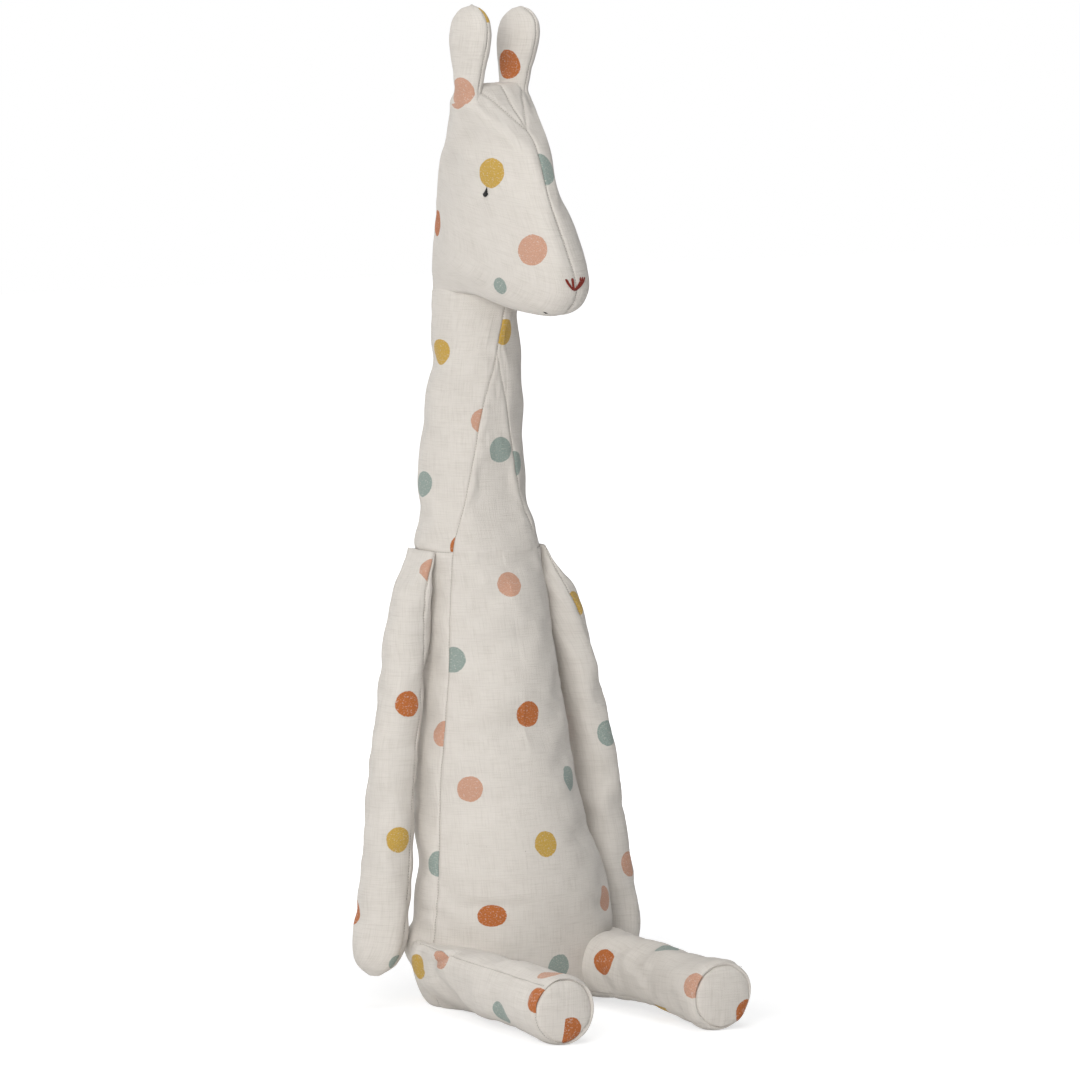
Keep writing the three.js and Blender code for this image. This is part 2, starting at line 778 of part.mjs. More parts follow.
const giraffe = new THREE.Group();
giraffe.add(...meshes);

export default giraffe;
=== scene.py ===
"""A seated plush giraffe of printed linen, dressed round its frame.

Lengths are in millimetres until a mesh is made, with +Z up and the toy facing -Y. Side 1 is the
toy's left, side -1 its right, which is the near one in the photograph.
"""

import math
from functools import partial

import bpy
import numpy as np
from mathutils import Matrix, Vector, noise
from mathutils.bvhtree import BVHTree
from mathutils.kdtree import KDTree


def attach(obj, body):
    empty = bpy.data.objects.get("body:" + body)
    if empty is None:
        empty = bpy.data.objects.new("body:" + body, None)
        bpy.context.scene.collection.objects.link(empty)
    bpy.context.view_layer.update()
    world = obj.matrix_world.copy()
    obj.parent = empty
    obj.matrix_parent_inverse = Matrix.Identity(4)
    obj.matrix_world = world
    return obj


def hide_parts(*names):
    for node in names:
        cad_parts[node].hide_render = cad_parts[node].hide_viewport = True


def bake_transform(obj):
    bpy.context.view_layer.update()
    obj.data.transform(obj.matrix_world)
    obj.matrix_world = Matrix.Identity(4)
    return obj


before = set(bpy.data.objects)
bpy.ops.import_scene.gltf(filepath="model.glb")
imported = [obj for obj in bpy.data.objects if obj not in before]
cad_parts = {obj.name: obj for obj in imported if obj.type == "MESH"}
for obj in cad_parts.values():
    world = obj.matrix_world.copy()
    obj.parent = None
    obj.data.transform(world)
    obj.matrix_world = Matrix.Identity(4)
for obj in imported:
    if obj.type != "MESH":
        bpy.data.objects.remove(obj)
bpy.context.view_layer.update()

MM = 0.001
TURN = 2 * math.pi

# The camera has the photograph's view. Its pixel rays place the dots and creases that show.
AZIMUTH, ELEVATION = math.radians(-30), math.radians(6.4)
DISTANCE, PIXELS_PER_RADIAN = 7000.0, 8974.0
FRAME_PIXELS = 1080
ANCHOR, ANCHOR_PIXEL = np.array([0, 48, 0.0]), (476.5, 991)
RIGHT = np.array([math.cos(AZIMUTH), math.sin(AZIMUTH), 0])
FLAT = math.cos(ELEVATION)
TOWARD = np.array([math.sin(AZIMUTH) * FLAT, -math.cos(AZIMUTH) * FLAT, math.sin(ELEVATION)])
CAM_UP = np.cross(TOWARD, RIGHT)
PIXELS_PER_MM = PIXELS_PER_RADIAN / DISTANCE
TARGET = (
    ANCHOR
    + RIGHT * (FRAME_PIXELS / 2 - ANCHOR_PIXEL[0]) / PIXELS_PER_MM
    + CAM_UP * (ANCHOR_PIXEL[1] - FRAME_PIXELS / 2) / PIXELS_PER_MM
)
EYE = TARGET + TOWARD * DISTANCE

# Light and floor. The lamps are placed in metres.
WORLD_LEVEL, KEY_LEVEL, TOP_LEVEL, BACK_LEVEL = 0.25, 0.55, 0.39, 0.3
WORLD_SIDE, WORLD_SLANT = (-0.45, -0.85, 0.27), 0.85
FLOOR_HALF_SIZE, FLOOR_LEVEL = 6000, -0.2
LAMP_AIM = (0, 0, 0.38)

# Sizes of the forms, most of them shared with the solids.
NECK_TOP, SHOULDER, GUSSET_TOP = 549, 349, 500
NECK_RADIUS, BASE_HALF_WIDTH, BASE_HALF_DEPTH, SET_BACK = 34, 76.5, 61, 48
HEAD_HEIGHT, HEAD_REACH, HEAD_BACK, HEAD_HALF_WIDTH, CHIN_DROP = 159, 114, 37, 33, 14
HEAD_SIDE_POWER, HEAD_FRONT_POWER, BLUNT_FROM = 0.75, 0.8, 0.1
HEAD_TURN = math.radians(13)
SEAM_BOW, FAR_CHEEK, BOW_FROM, BOW_SPAN, BOW_POWER = 8, 6, 0.03, 0.74, 8
EAR_HALF_WIDTH, EAR_HALF_THICKNESS, EAR_FLARE, FLARE_REACH = 20, 11, 5, 5
EAR_FORWARD, EAR_SINK, EAR_TIP_FORWARD = 16, 26, 5
EAR_SPREAD = {-1: 25, 1: 22.5}
EAR_LENGTH = {-1: 90.5, 1: 87.5}
EAR_LEAN = {-1: 1.5, 1: -5.5}
EAR_BEND_DEPTH, EAR_BEND_SPAN, EAR_SEAM_START = 2.0, 16.0, 4
CROWN_HALF_WIDTH, CROWN_FRONT, CROWN_BACK, CROWN_LOWEST = 22, 58.5, 26, 0.6
CROWN_FRONT_PULL, CROWN_BACK_PULL, CROWN_STRAIGHT, CROWN_BULGE = (0.62, -38), (0.8, 14), 12, 1.04
CROWN_SNAP = 1.1
ARM_RADIUS, ARM_DROP, ARM_SPREAD, ARM_FORWARD = 19.5, 322, 60, 33
ARM_TWIST, TWIST_SPAN = {-1: math.radians(38), 1: math.radians(-55)}, (0.02, 0.3)
LEG_ROOT, LEG_RADIUS, SOLE_RADIUS, FOOT_FLAT = 27.5, 26.5, 24.5, 0.5
LEG_TWIST = math.radians(38)
LEG_SPREAD, FOOT_REACH, LEG_ROOT_REACH = 65, 207, 14
FOOT_SPREAD = {-1: 68.5, 1: 71.5}
LEG_WAIST, LEG_LIFT = {-1: 2.6, 1: 3.8}, {-1: 1.9, 1: 1.9}
LEG_INWARD = {-1: 0, 1: 13}
HIP_DEPTH, HIP_INWARD, HIP_RISE, HIP_CORNER = 50, 29, 18, 7
HIP_PLACE, HIP_SWELL = np.array([61.0, 8.0]), np.array([20.0, 27.0])
HIP_HEIGHT, HIP_TALL, HIP_SOFT = 48, 22, 1.6
# How far along the leg the hip's form, its corner and the wide root fade, and the hip's form.
HIP_FADE, CORNER_FADE, ROOT_FADE = (0.02, 0.6), (0.02, 0.34), (0.02, 0.36)
HIP_FADED, HIP_UP, HIP_PINCH, HIP_LEAN = 0.8, 0.42, 0.06, 5
GUSSET_COLUMN = 64.0

# How much more the far side of the body stands out: between which sines of the angle from the
# front it comes in, and its share by height.
FAR_SPAN = (0.05, 0.8)
FAR_SIDE = [
    [0, 20, 45, 62, 85, 110, 135, 165, 200, 250, 300, 340],
    [0, 0.05, 0.1, 0.12, 0.1, 0.04, -0.04, -0.08, -0.08, -0.05, -0.02, 0],
]
# Share of the neck's height, then shares of the extra width, extra depth and set forward.
BODY = [
    [0, 0.67, 0.52, 0.98], [0.013, 0.81, 0.73, 0.99], [0.036, 0.925, 0.9, 1],
    [0.08, 1, 1, 1], [0.13, 0.985, 0.964, 1], [0.182, 0.955, 0.893, 0.98],
    [0.291, 0.82, 0.786, 0.75], [0.455, 0.56, 0.625, 0.44], [0.636, 0.356, 0.36, 0.03],
    [0.709, 0.23, 0.16, -0.1], [0.788, 0.138, 0.089, -0.115], [0.858, 0.08, 0.057, -0.09],
    [0.91, 0.018, 0.018, -0.025], [1, 0, 0, 0],
]
# Share of the gusset's height, and the sine of its edge's angle from the front.
GUSSET = [
    [0, 0.99], [0.2, 0.95], [0.45, 0.9], [0.7, 0.76],
    [0.78, 0.56], [0.85, 0.42], [0.93, 0.25], [1, 0.01],
]
# Step from neck to crown, then the ring's back reach and height, its front reach and height,
# its width and how much that narrows to the front, all as shares.
HEAD = [
    [0, -0.91, 0, 0.29, 0, 1, 0],
    [0.07, -0.93, 0.077, 0.42, -0.03, 1, 0],
    [0.14, -0.95, 0.142, 0.6, -0.066, 1, 0],
    [0.22, -0.965, 0.206, 0.82, -0.08, 1, 0],
    [0.31, -0.965, 0.27, 0.955, -0.03, 1, -0.05],
    [0.41, -0.955, 0.35, 1.005, 0.08, 1, -0.02],
    [0.52, -0.92, 0.465, 0.915, 0.3, 0.97, 0.12],
    [0.63, -0.8, 0.595, 0.785, 0.5, 0.96, 0.27],
    [0.75, -0.54, 0.73, 0.645, 0.69, 0.97, 0.22],
    [0.85, -0.31, 0.86, 0.485, 0.815, 1, 0.05],
    [0.93, -0.12, 0.955, 0.36, 0.91, 1, -0.04],
    [1, 0.3, 1, 0.25, 1, 0.7, 0],
]
LOWEST_FRONT = HEAD[3][4]
# Step from shoulder to paw, then the shares of the way outward, forward and down.
ARM_LINE = [
    [0, 0, 0, 0], [0.112, 0.25, 0.4, 0.112], [0.348, 0.5, 0.66, 0.348],
    [0.584, 0.735, 0.8, 0.584], [1, 1, 1, 1],
]
# Steps, and how far each arm bends out of that line there.
ARM_BEND = {
    0: [0, 0.1, 0.2, 0.3, 0.4, 0.5, 0.62, 0.75, 0.88, 1],
    -1: [0, 0.03, 0.045, 0.04, 0.02, 0, -0.03, -0.045, -0.03, 0],
    1: [0, -0.05, -0.05, -0.02, -0.005, -0.015, -0.03, -0.03, -0.015, 0],
}
# Step, then thickness and width as shares of the radius.
ARM = [
    [0, 0.12, 1.02], [0.04, 0.42, 1], [0.09, 0.74, 0.93], [0.16, 0.86, 0.88],
    [0.32, 0.88, 0.88], [0.6, 0.95, 0.95], [0.84, 1, 1], [0.93, 0.97, 0.97],
    [0.975, 0.72, 0.72], [1, 0.24, 0.24],
]
# Step from hip to foot, and the share of the way from the root's radius to the foot's.
LEG = [[0, 0], [0.35, 0.45], [0.6, 0.9], [0.8, 1], [1, 1]]
# Step from base to tip, then width and thickness as shares.
EAR = [
    [0, 0.66, 0.8], [0.3, 0.66, 0.8], [0.46, 0.76, 0.87], [0.63, 0.93, 1], [0.75, 1, 1],
    [0.86, 0.92, 0.86], [0.93, 0.72, 0.62], [0.975, 0.45, 0.36], [1, 0.12, 0.1],
]
# The rings of a sole: share of the radius, and how far ahead of the rim each lies.
SOLE = (
    (0.86, -3.4), (0.93, -2.2), (0.975, -0.8), (0.985, 0.2), (0.97, 0.9), (0.93, 1.5),
    (0.86, 2.1), (0.76, 2.7), (0.64, 3.3), (0.5, 3.8), (0.35, 4.2), (0.2, 4.4), (0.06, 4.5),
)
SOLE_RIM, SOLE_BACK = 3, 3
# Spacing of the columns in degrees, and where beside each seam they lie closer together.
BODY_COLUMNS = 2.6, (0.55, 1.2, 2.1, 3.3)
HEAD_COLUMNS = 2.2, (0.8, 1.7, 2.8, 4.2)
EAR_COLUMNS = 7, (2.2, 4.6, 7.5, 11)
ARM_COLUMNS = 7.5, (1.8, 4, 7, 11)
LEG_COLUMNS = 6, (1.5, 3.2, 5.4, 8.4)
SOLE_COLUMN = 5.0
# Rings that close the forms: share of the last ring's size, and how far each lies from it.
BASE_RINGS = (0.04, 0.25, 0.45, 0.62, 0.78, 0.9, 0.97)
NECK_RINGS = ((0.985, 1.2), (0.95, 2.6), (0.88, 4), (0.7, 5))
HEAD_RINGS = ((0.7, 3), (0.88, 2.2), (0.95, 1.2), (0.985, 0.4))
CROWN_RINGS, CROWN_RISE = (0.75, 0.5, 0.25, 0.06), 0.96
TIP_RING, EAR_TIP, ARM_TIP = 0.4, 0.3, 0.4
FOOT_RINGS = ((0.97, 0.6), (0.92, 2), (0.85, 4))
# The rounding of the foot: step, and share of the way to the sole's radius.
FOOT_ROUND = ((0.965, 0.25), (0.975, 0.5), (0.984, 0.72), (0.991, 0.9), (0.996, 1))

# The four colours of the print, and its dots: radius, squeeze and lowest height where a dot's own
# row ends before them, then how far dots are apart and from what shows where they are made up.
PRINT = {
    "rust": (0.425, 0.128, 0.033),
    "mustard": (0.505, 0.322, 0.068),
    "pink": (0.530, 0.300, 0.210),
    "teal": (0.270, 0.325, 0.295),
}
USUAL_DOT = (10, 1.0, -1e3)
NO_DOT, DOT_SPACING, DOT_HIDING = 50.0, 58, 12
# Dots in the photograph: pixel, colour, panel (A or B each side of the form's own seam, C in the
# gusset, empty for the panel it lands on), radius, squeeze and lowest height.
BODY_DOTS = [
    (440, 352, "mustard", "B"), (505, 332, "mustard", "A"), (484, 421, "pink", "B"),
    (501, 450, "teal", "C"), (514, 464, "teal", "A"), (423, 484, "teal", "B"),
    (462, 547, "rust", "B", 10, 1.0, SHOULDER), (510, 584, "pink", "C"),
    (453, 660, "teal", "C"), (528, 714, "rust", "C"), (470, 789, "pink", "C"),
    (546, 844, "mustard", "C"), (492, 916, "rust", "C", 11.5, 1.35), (559, 967, "teal", "C"),
    (570, 778, "teal", "C"), (605, 898, "pink", "C"), (444, 734, "pink", "B"),
    (439, 864, "teal", "B"),
]
HEAD_DOTS = [
    (491, 173, "mustard", "B", 11.5), (541, 169, "teal", "A", 13.5), (532, 250, "pink", "B", 12),
    (437, 223, "rust", "B"), (500, 286, "teal", "B", 6.5), (461, 94, "pink", "B", 12),
]
EAR_DOTS = {
    -1: [(486, 14, "mustard", "A", 8), (461, 92, "pink", "B", 11)],
    1: [(509, 64, "rust", "B", 11.5)],
}
ARM_DOTS = {
    -1: [
        (433, 573, "pink", "A"), (408, 704, "rust", ""), (399, 840, "mustard", ""),
        (395, 962, "teal", "A", 6), (353, 912, "rust", ""),
    ],
    1: [(576, 604, "mustard", ""), (608, 733, "teal", ""), (629, 864, "pink", "")],
}
LEG_DOTS = {
    -1: [
        (417, 967, "mustard", ""), (502, 1013, "teal", ""), (539, 1001, "rust", "", 10),
        (550, 974, "pink", "B"), (445, 957, "pink", ""),
    ],
    1: [
        (604, 962, "rust", ""), (667, 947, "teal", ""), (664, 1013, "mustard", ""),
        (693, 985, "pink", ""),
    ],
}
SOLE_DOTS = {-1: [(570, 1031, "rust", "", 10.5)], 1: [(748, 1012, "rust", "")]}

# Creases in the photograph: depth and half width, then the pixels that each runs through.
BODY_CREASES = [
    (1.1, 2.6, (452, 905), (470, 903), (500, 906), (520, 905), (538, 900)),
    (0.6, 3.4, (448, 886), (490, 888), (530, 883)),
    (0.6, 4.0, (438, 757), (480, 753), (524, 758)),
    (0.5, 4.0, (470, 640), (500, 644), (530, 640)),
    (0.9, 2.6, (536, 690), (548, 698), (560, 714)),
    (0.9, 2.6, (552, 772), (566, 782), (578, 798)),
    (0.9, 2.6, (562, 822), (578, 836), (592, 856)),
    (1.0, 2.8, (574, 880), (592, 892), (606, 912)),
    (0.6, 3.0, (414, 800), (424, 806), (436, 806)),
    (0.8, 2.6, (416, 905), (428, 912), (444, 914)),
    (0.5, 3.0, (446, 470), (460, 476), (474, 474)),
]
ARM_CREASES = {
    -1: [
        (1.5, 2.2, (447, 556), (446, 575), (441, 600)),
        (0.7, 2.6, (398, 612), (412, 618), (428, 614)),
        (0.7, 2.8, (384, 742), (398, 750), (416, 746)),
        (0.6, 3.0, (372, 878), (386, 884), (400, 880)),
    ],
    1: [
        (0.8, 2.6, (552, 566), (566, 580), (578, 600)),
        (0.7, 2.8, (590, 690), (602, 700), (612, 716)),
        (0.7, 2.8, (608, 790), (618, 800), (628, 818)),
    ],
}
LEG_CREASES = {
    -1: [
        (3.6, 2.4, (428, 967), (438, 959), (448, 954), (462, 951)),
        (1.0, 3.0, (414, 972), (426, 974), (440, 970)),
        (0.8, 3.0, (500, 966), (516, 972), (534, 976)),
        (0.7, 3.2, (470, 1004), (490, 998), (508, 984)),
    ],
    1: [
        (1.2, 2.8, (598, 962), (614, 954), (634, 946)),
        (0.8, 3.0, (628, 962), (640, 972), (648, 990)),
        (0.7, 3.2, (680, 960), (690, 968), (700, 974)),
    ],
}
CREASE_STEPS, CREASE_LEAST, CREASE_FADE, RIDGE_HEIGHT, RIDGE_PLACE = 14, 4, 0.6, 0.45, 2.4

# How an ear is laid on the side of the head: between which depths below the head's top it starts
# to, the gap that it keeps, how it sinks in lower down, and the limits of a point's move.
LAID_FROM, LAID_FULL, LAID_GAP = -4, 22, 0.5
SINK, SINK_FROM, SINK_FULL = 5, 9, 24
LEAST_MOVE, MOST_MOVE, FACING_FULL, LAID_PASSES = -4, 9, 0.35, 4

# Relief of the sewn cloth: the groove and the puff beside it, then length, height and reach of the
# puckers, then the lengths of the swell.
GROOVE_WIDTH, PUFF_HEIGHT, PUFF_REACH = 0.8, 0.45, 5
PUCKER_LIMIT, PUCKER_START = 40, 1.4
SMALL_PUCKER, SMALL_HEIGHT, SMALL_REACH = 4.2, 0.5, 4
LARGE_PUCKER, LARGE_HEIGHT, LARGE_REACH = 11, 0.9, 9
LARGE_SWELL, SMALL_SWELL, SMALL_SHARE = 42, 14, 0.25

# How far from the neck's ring, and above an ear's foot, the cloth stays on the plain form.
NECK_STILL, EAR_STILL, EAR_FREE = 24, 4, 30

# The cloth simulation: grid spacing, frames, stuffing pressure and the limit of a movement. The
# cloth is held at the seams and free a little away from them.
CLOTH_GAP, CLOTH_FRAMES, CLOTH_PRESSURE, CLOTH_LIMIT = 6.5, 20, 4, 2.6
CLOTH_QUALITY, CLOTH_MASS, CLOTH_STRETCH, CLOTH_SHEAR, CLOTH_BEND = 6, 0.05, 12, 6, 0.3
HELD_TO, FREE_FROM, CLOTH_PASSES = 1.5, 9, 5
GROWTH_TAKEN_BACK, GROWTH_FROM = 0.85, 12

# Stitches: spacing and length of each thread, how deep its ends dip, and its profile.
STITCH_PITCH, STITCH_LENGTH, STITCH_LEAST = 2.1, 1.35, 0.3
STITCH_SIDES, STITCH_LIFT, STITCH_DIP = 5, 0.12, 0.16
STITCH = ((0, 0.06), (0.2, 0.2), (0.5, 0.24), (0.8, 0.2), (1, 0.06))

# Embroidery in the photograph. Each stroke of the nose has how far its threads spread, their
# places across it and its pixels. The eye has its centre, half width, depth below and rise above
# the centre, how much it narrows to the top and how it leans.
NOSE = (
    (1.1, (-0.5, 0.5), [(565.8, 279.2), (568, 283.6), (570.7, 287.2), (573.9, 290.6)]),
    (0.9, (-0.5, 0.5), [(572, 278.2), (572.5, 282), (573.1, 286.6), (574, 291)]),
    (2.1, (-1, 0, 1), [(582.2, 277), (581.6, 281.5), (579, 286.2), (574.4, 290.6)]),
)
MOUTH = ((543.6, 311.6), (545.4, 312.6), (547.6, 313.4))
EYE_PIXEL = (486.2, 192.6)
EYE_HALF_WIDTH, EYE_DROP, EYE_RISE, EYE_TAPER, EYE_LEAN = 2.7, 4.2, 4.3, 0.35, 0.16
EYE_COLUMNS, STROKE_POINTS = np.linspace(-0.86, 0.86, 7), 9
NOSE_THREAD, MOUTH_THREAD, EYE_THREAD = 0.72, 0.55, 0.45

LINEN_LIGHT = (0.642, 0.604, 0.557, 1)
LINEN_DARK = (0.535, 0.497, 0.450, 1)
FLECK = (0.20, 0.15, 0.10, 1)
THREAD_PITCH = 0.00062


def pixel_ray(px, py):
    """The direction from the camera through a pixel of the photograph."""
    x = (px - FRAME_PIXELS / 2) / PIXELS_PER_RADIAN
    y = (FRAME_PIXELS / 2 - py) / PIXELS_PER_RADIAN
    ray = -TOWARD + RIGHT * x + CAM_UP * y
    return ray / np.linalg.norm(ray)


def pixels_of(points):
    """Where points project in the photograph."""
    away = points - EYE
    depth = -(away @ TOWARD)
    x = FRAME_PIXELS / 2 + PIXELS_PER_RADIAN * (away @ RIGHT) / depth
    y = FRAME_PIXELS / 2 - PIXELS_PER_RADIAN * (away @ CAM_UP) / depth
    return np.stack([x, y], axis=-1)


def row_at(table, place):
    """The columns of a table at a place in its first column, on a smooth curve."""
    i = 0
    while i < len(table) - 2 and place > table[i + 1][0]:
        i += 1
    span = table[i + 1][0] - table[i][0]
    t = (place - table[i][0]) / span

    def slope(j):
        before, after = table[max(j - 1, 0)], table[min(j + 1, len(table) - 1)]
        return (np.array(after[1:]) - before[1:]) / (after[0] - before[0])

    start, end = np.array(table[i][1:], float), np.array(table[i + 1][1:], float)
    bend = t * t * (3 - 2 * t)
    leave = t * (1 - t) ** 2 * span * slope(i)
    arrive = t * t * (t - 1) * span * slope(i + 1)
    return start + (end - start) * bend + leave + arrive


def smooth(low, high, x):
    t = np.clip((np.asarray(x, float) - low) / (high - low), 0, 1)
    return t * t * (3 - 2 * t)


def clustered(start, end, step, at=(), near=(0.6, 1.3, 2.3, 3.6)):
    """Places from start to end about a step apart, closer together round some of them."""
    marks = sorted({start, end, *[a for a in at if start <= a <= end]})
    out = set(marks)
    for low, high in zip(marks[:-1], marks[1:]):
        inner_low, inner_high = low, high
        for offset in near:
            if low in at and low + offset < high:
                out.add(low + offset)
                inner_low = low + offset
            if high in at and high - offset > low:
                out.add(high - offset)
                inner_high = high - offset
        if inner_high > inner_low:
            count = max(1, round((inner_high - inner_low) / step))
            out.update(np.linspace(inner_low, inner_high, count + 1))
    kept = []
    for value in sorted(out):
        if not kept or value - kept[-1] > 0.25 * near[0] or value in marks:
            if kept and value in marks and value - kept[-1] <= 0.25 * near[0]:
                kept.pop()
            kept.append(float(value))
    return kept


def column_marks(step, near, at=(0, 180)):
    """Places of columns in degrees, the same on both sides and closer round the seams."""
    half = clustered(0, 180, step, at=at, near=near)
    return [-m for m in half[::-1] if 0 < m < 180] + half


def points_of(x, y, z):
    """Points from coordinates, of which some may be one number for all."""
    return np.stack(np.broadcast_arrays(x, y, z), axis=-1)


def shrunk(ring, middle, share, offset=(0, 0, 0)):
    return middle + (ring - middle) * share + np.array(offset, float)


def line_through(ring, angle, steps):
    """The line that one angle draws through the rings at some steps."""
    return np.array([ring(step, np.array([angle]))[0] for step in steps])


def edge_seams(ring, steps):
    """The two seams of an ear or a limb, one up and one back down it."""
    return [line_through(ring, 0.0, steps), line_through(ring, math.pi, steps[::-1])]


def grid_normals(grid):
    around = np.roll(grid, -1, 1) - np.roll(grid, 1, 1)
    along = np.gradient(grid, axis=0)
    normal = np.cross(around, along)
    return normal / np.maximum(np.linalg.norm(normal, axis=2, keepdims=True), 1e-9)


def grid_faces(rows, columns):
    faces = []
    for i in range(rows - 1):
        for j in range(columns):
            a, b = i * columns + j, i * columns + (j + 1) % columns
            faces.append((a, b, b + columns, a + columns))
    return faces


def capped_faces(rows, columns):
    """Quads between the rows, with a flat face closing each end."""
    last = (rows - 1) * columns
    ends = [tuple(range(columns - 1, -1, -1)), tuple(range(last, last + columns))]
    return grid_faces(rows, columns) + ends


def softened(field, passes):
    """A field on a grid, averaged with its neighbours round the rows and along the columns."""
    for _ in range(passes):
        field = (np.roll(field, 1, 1) + 2 * field + np.roll(field, -1, 1)) / 4
        field[1:-1] = (field[:-2] + 2 * field[1:-1] + field[2:]) / 4
    return field


def surface_of(grid):
    """A grid's surface for rays to meet."""
    faces = grid_faces(*grid.shape[:2])
    return BVHTree.FromPolygons([Vector(p) for p in grid.reshape(-1, 3)], faces)


def lookup(points):
    """A tree that finds the nearest of some points."""
    tree = KDTree(len(points))
    for i, p in enumerate(points):
        tree.insert(p, i)
    tree.balance()
    return tree


def turned(points, angle):
    """Points turned about the vertical through the origin."""
    c, s = math.cos(angle), math.sin(angle)
    x, y = points[..., 0], points[..., 1]
    return np.stack([c * x - s * y, s * x + c * y, points[..., 2]], axis=-1)


def to_world(points):
    """From the head's own frame to the toy's."""
    return turned(points, HEAD_TURN) + np.array([0, SET_BACK, NECK_TOP])


# Each form is a closed grid of rows and columns, with its seams as lines on it.
def body_section(height):
    wide, deep, forward = row_at(BODY, min(height, NECK_TOP) / NECK_TOP)
    half_width = NECK_RADIUS + (BASE_HALF_WIDTH - NECK_RADIUS) * wide
    half_depth = NECK_RADIUS + (BASE_HALF_DEPTH - NECK_RADIUS) * deep
    return half_width, half_depth, SET_BACK * (1 - forward)


def neck_twist(height):
    """How far the neck's seams have turned towards the head's at a height."""
    return HEAD_TURN * smooth(GUSSET_TOP, NECK_TOP, height)


def body_points(angles, height):
    """Points of the body at a height. The hips swell out of its sides without an edge."""
    half_width, half_depth, middle = body_section(height)
    lean = np.interp(height, FAR_SIDE[0], FAR_SIDE[1]) * smooth(*FAR_SPAN, np.sin(angles))
    x, y = half_width * np.sin(angles) * (1 + lean), -half_depth * np.cos(angles)
    plan = np.stack([x, y], axis=-1)
    radius = np.linalg.norm(plan, axis=-1, keepdims=True)
    ray = plan / radius
    span = HIP_SWELL * math.sqrt(max(1 - ((height - HIP_HEIGHT) / HIP_TALL) ** 2, 0))
    for side in (-1, 1) if span.any() else ():
        centre = np.array([side * HIP_PLACE[0], HIP_PLACE[1] - middle])
        a = ((ray / span) ** 2).sum(axis=-1, keepdims=True)
        b = (ray * centre / span**2).sum(axis=-1, keepdims=True)
        c = ((centre / span) ** 2).sum() - 1
        inside = b * b - a * c
        found = (b + np.sign(inside) * np.sqrt(np.abs(inside))) / a
        found = np.where(b > 0, found, 0)
        radius = radius + HIP_SOFT * np.logaddexp(0, (found - radius) / HIP_SOFT)
    plan = ray * radius
    return points_of(plan[..., 0], middle + plan[..., 1], float(height))


def gusset_angle(height):
    """The angle from the front at which the gusset's edge lies at a height."""
    if height >= GUSSET_TOP:
        return 0.0
    return math.asin(min(float(row_at(GUSSET, height / GUSSET_TOP)[0]), 0.999))


def body_marks():
    return column_marks(*BODY_COLUMNS, at=(0, GUSSET_COLUMN, 180))


def column_angles(height, marks):
    """Body columns, led along the gusset's edges and turned with the neck."""
    edge = math.degrees(max(gusset_angle(height), math.radians(16)))
    marks = np.array(marks)
    inside = np.abs(marks) <= GUSSET_COLUMN
    outer = edge + (np.abs(marks) - GUSSET_COLUMN) * (180 - edge) / (180 - GUSSET_COLUMN)
    angle = np.where(inside, marks * edge / GUSSET_COLUMN, np.sign(marks) * outer)
    return np.radians(angle) + neck_twist(height)


def body_line(angle_at, start, end, count):
    heights = np.linspace(start, end, count)
    return np.array([body_points([angle_at(h)], h)[0] for h in heights])


def make_body():
    """Body rows from the middle of the base to the top of the neck, the seams, and the ring
    where the neck meets the head."""
    marks = body_marks()
    base = body_points(column_angles(0, marks), 0)
    middle = np.array([0, body_section(0)[2], 0])
    rows = [shrunk(base, middle, share) for share in BASE_RINGS]
    heights = [0, 0.8, 2, 4] + clustered(6.5, NECK_TOP, 2.6, at=(SHOULDER, NECK_TOP))
    rows += [body_points(column_angles(height, marks), height) for height in heights]
    top, axis = rows[-1], np.array([0, SET_BACK, NECK_TOP])
    for share, rise in NECK_RINGS:
        rows.append(shrunk(top, axis, share, (0, 0, rise)))
    edge = gusset_angle(SHOULDER)
    seams = [
        body_line(lambda h: -gusset_angle(h), 0, GUSSET_TOP, 800),
        body_line(gusset_angle, 0, GUSSET_TOP, 800),
        body_line(neck_twist, GUSSET_TOP, NECK_TOP, 80),
        body_line(lambda h: math.pi + neck_twist(h), 3, NECK_TOP, 800),
        body_points(np.linspace(edge, TURN - edge, 500), SHOULDER),
    ]
    return np.stack(rows), seams, body_points(np.linspace(0, TURN, 700), NECK_TOP)


def head_ring(step, angles):
    """A ring of the head, blunt at the sides and front, its front drawn towards the near side
    where the forehead's seam bows."""
    back_share, back_up, front_share, front_up, wide, narrowing = row_at(HEAD, step)

    def rise(share):
        return share * CHIN_DROP / -LOWEST_FRONT if share < 0 else share * HEAD_HEIGHT

    back, front = HEAD_BACK * back_share, HEAD_REACH * front_share
    reach = (front - back) / 2
    blunt = min(step / BLUNT_FROM, 1)
    ahead, side = np.cos(angles), np.sin(angles)
    front_power = np.where(ahead > 0, 1 + (HEAD_FRONT_POWER - 1) * blunt, 1)
    ahead = np.sign(ahead) * np.abs(ahead) ** front_power
    place = (1 + ahead) / 2
    width = HEAD_HALF_WIDTH * wide * (1 - narrowing * place)
    side_power = 1 + (HEAD_SIDE_POWER - 1) * blunt
    bow = math.sin(math.pi * min(max((front_up - BOW_FROM) / BOW_SPAN, 0), 1))
    bowed = bow * (FAR_CHEEK * np.clip(side, 0, 1) - SEAM_BOW * place**BOW_POWER)
    return points_of(
        width * np.sign(side) * np.abs(side) ** side_power + bowed,
        -(back + reach * (1 + ahead)),
        rise(back_up) + (rise(front_up) - rise(back_up)) * place,
    )


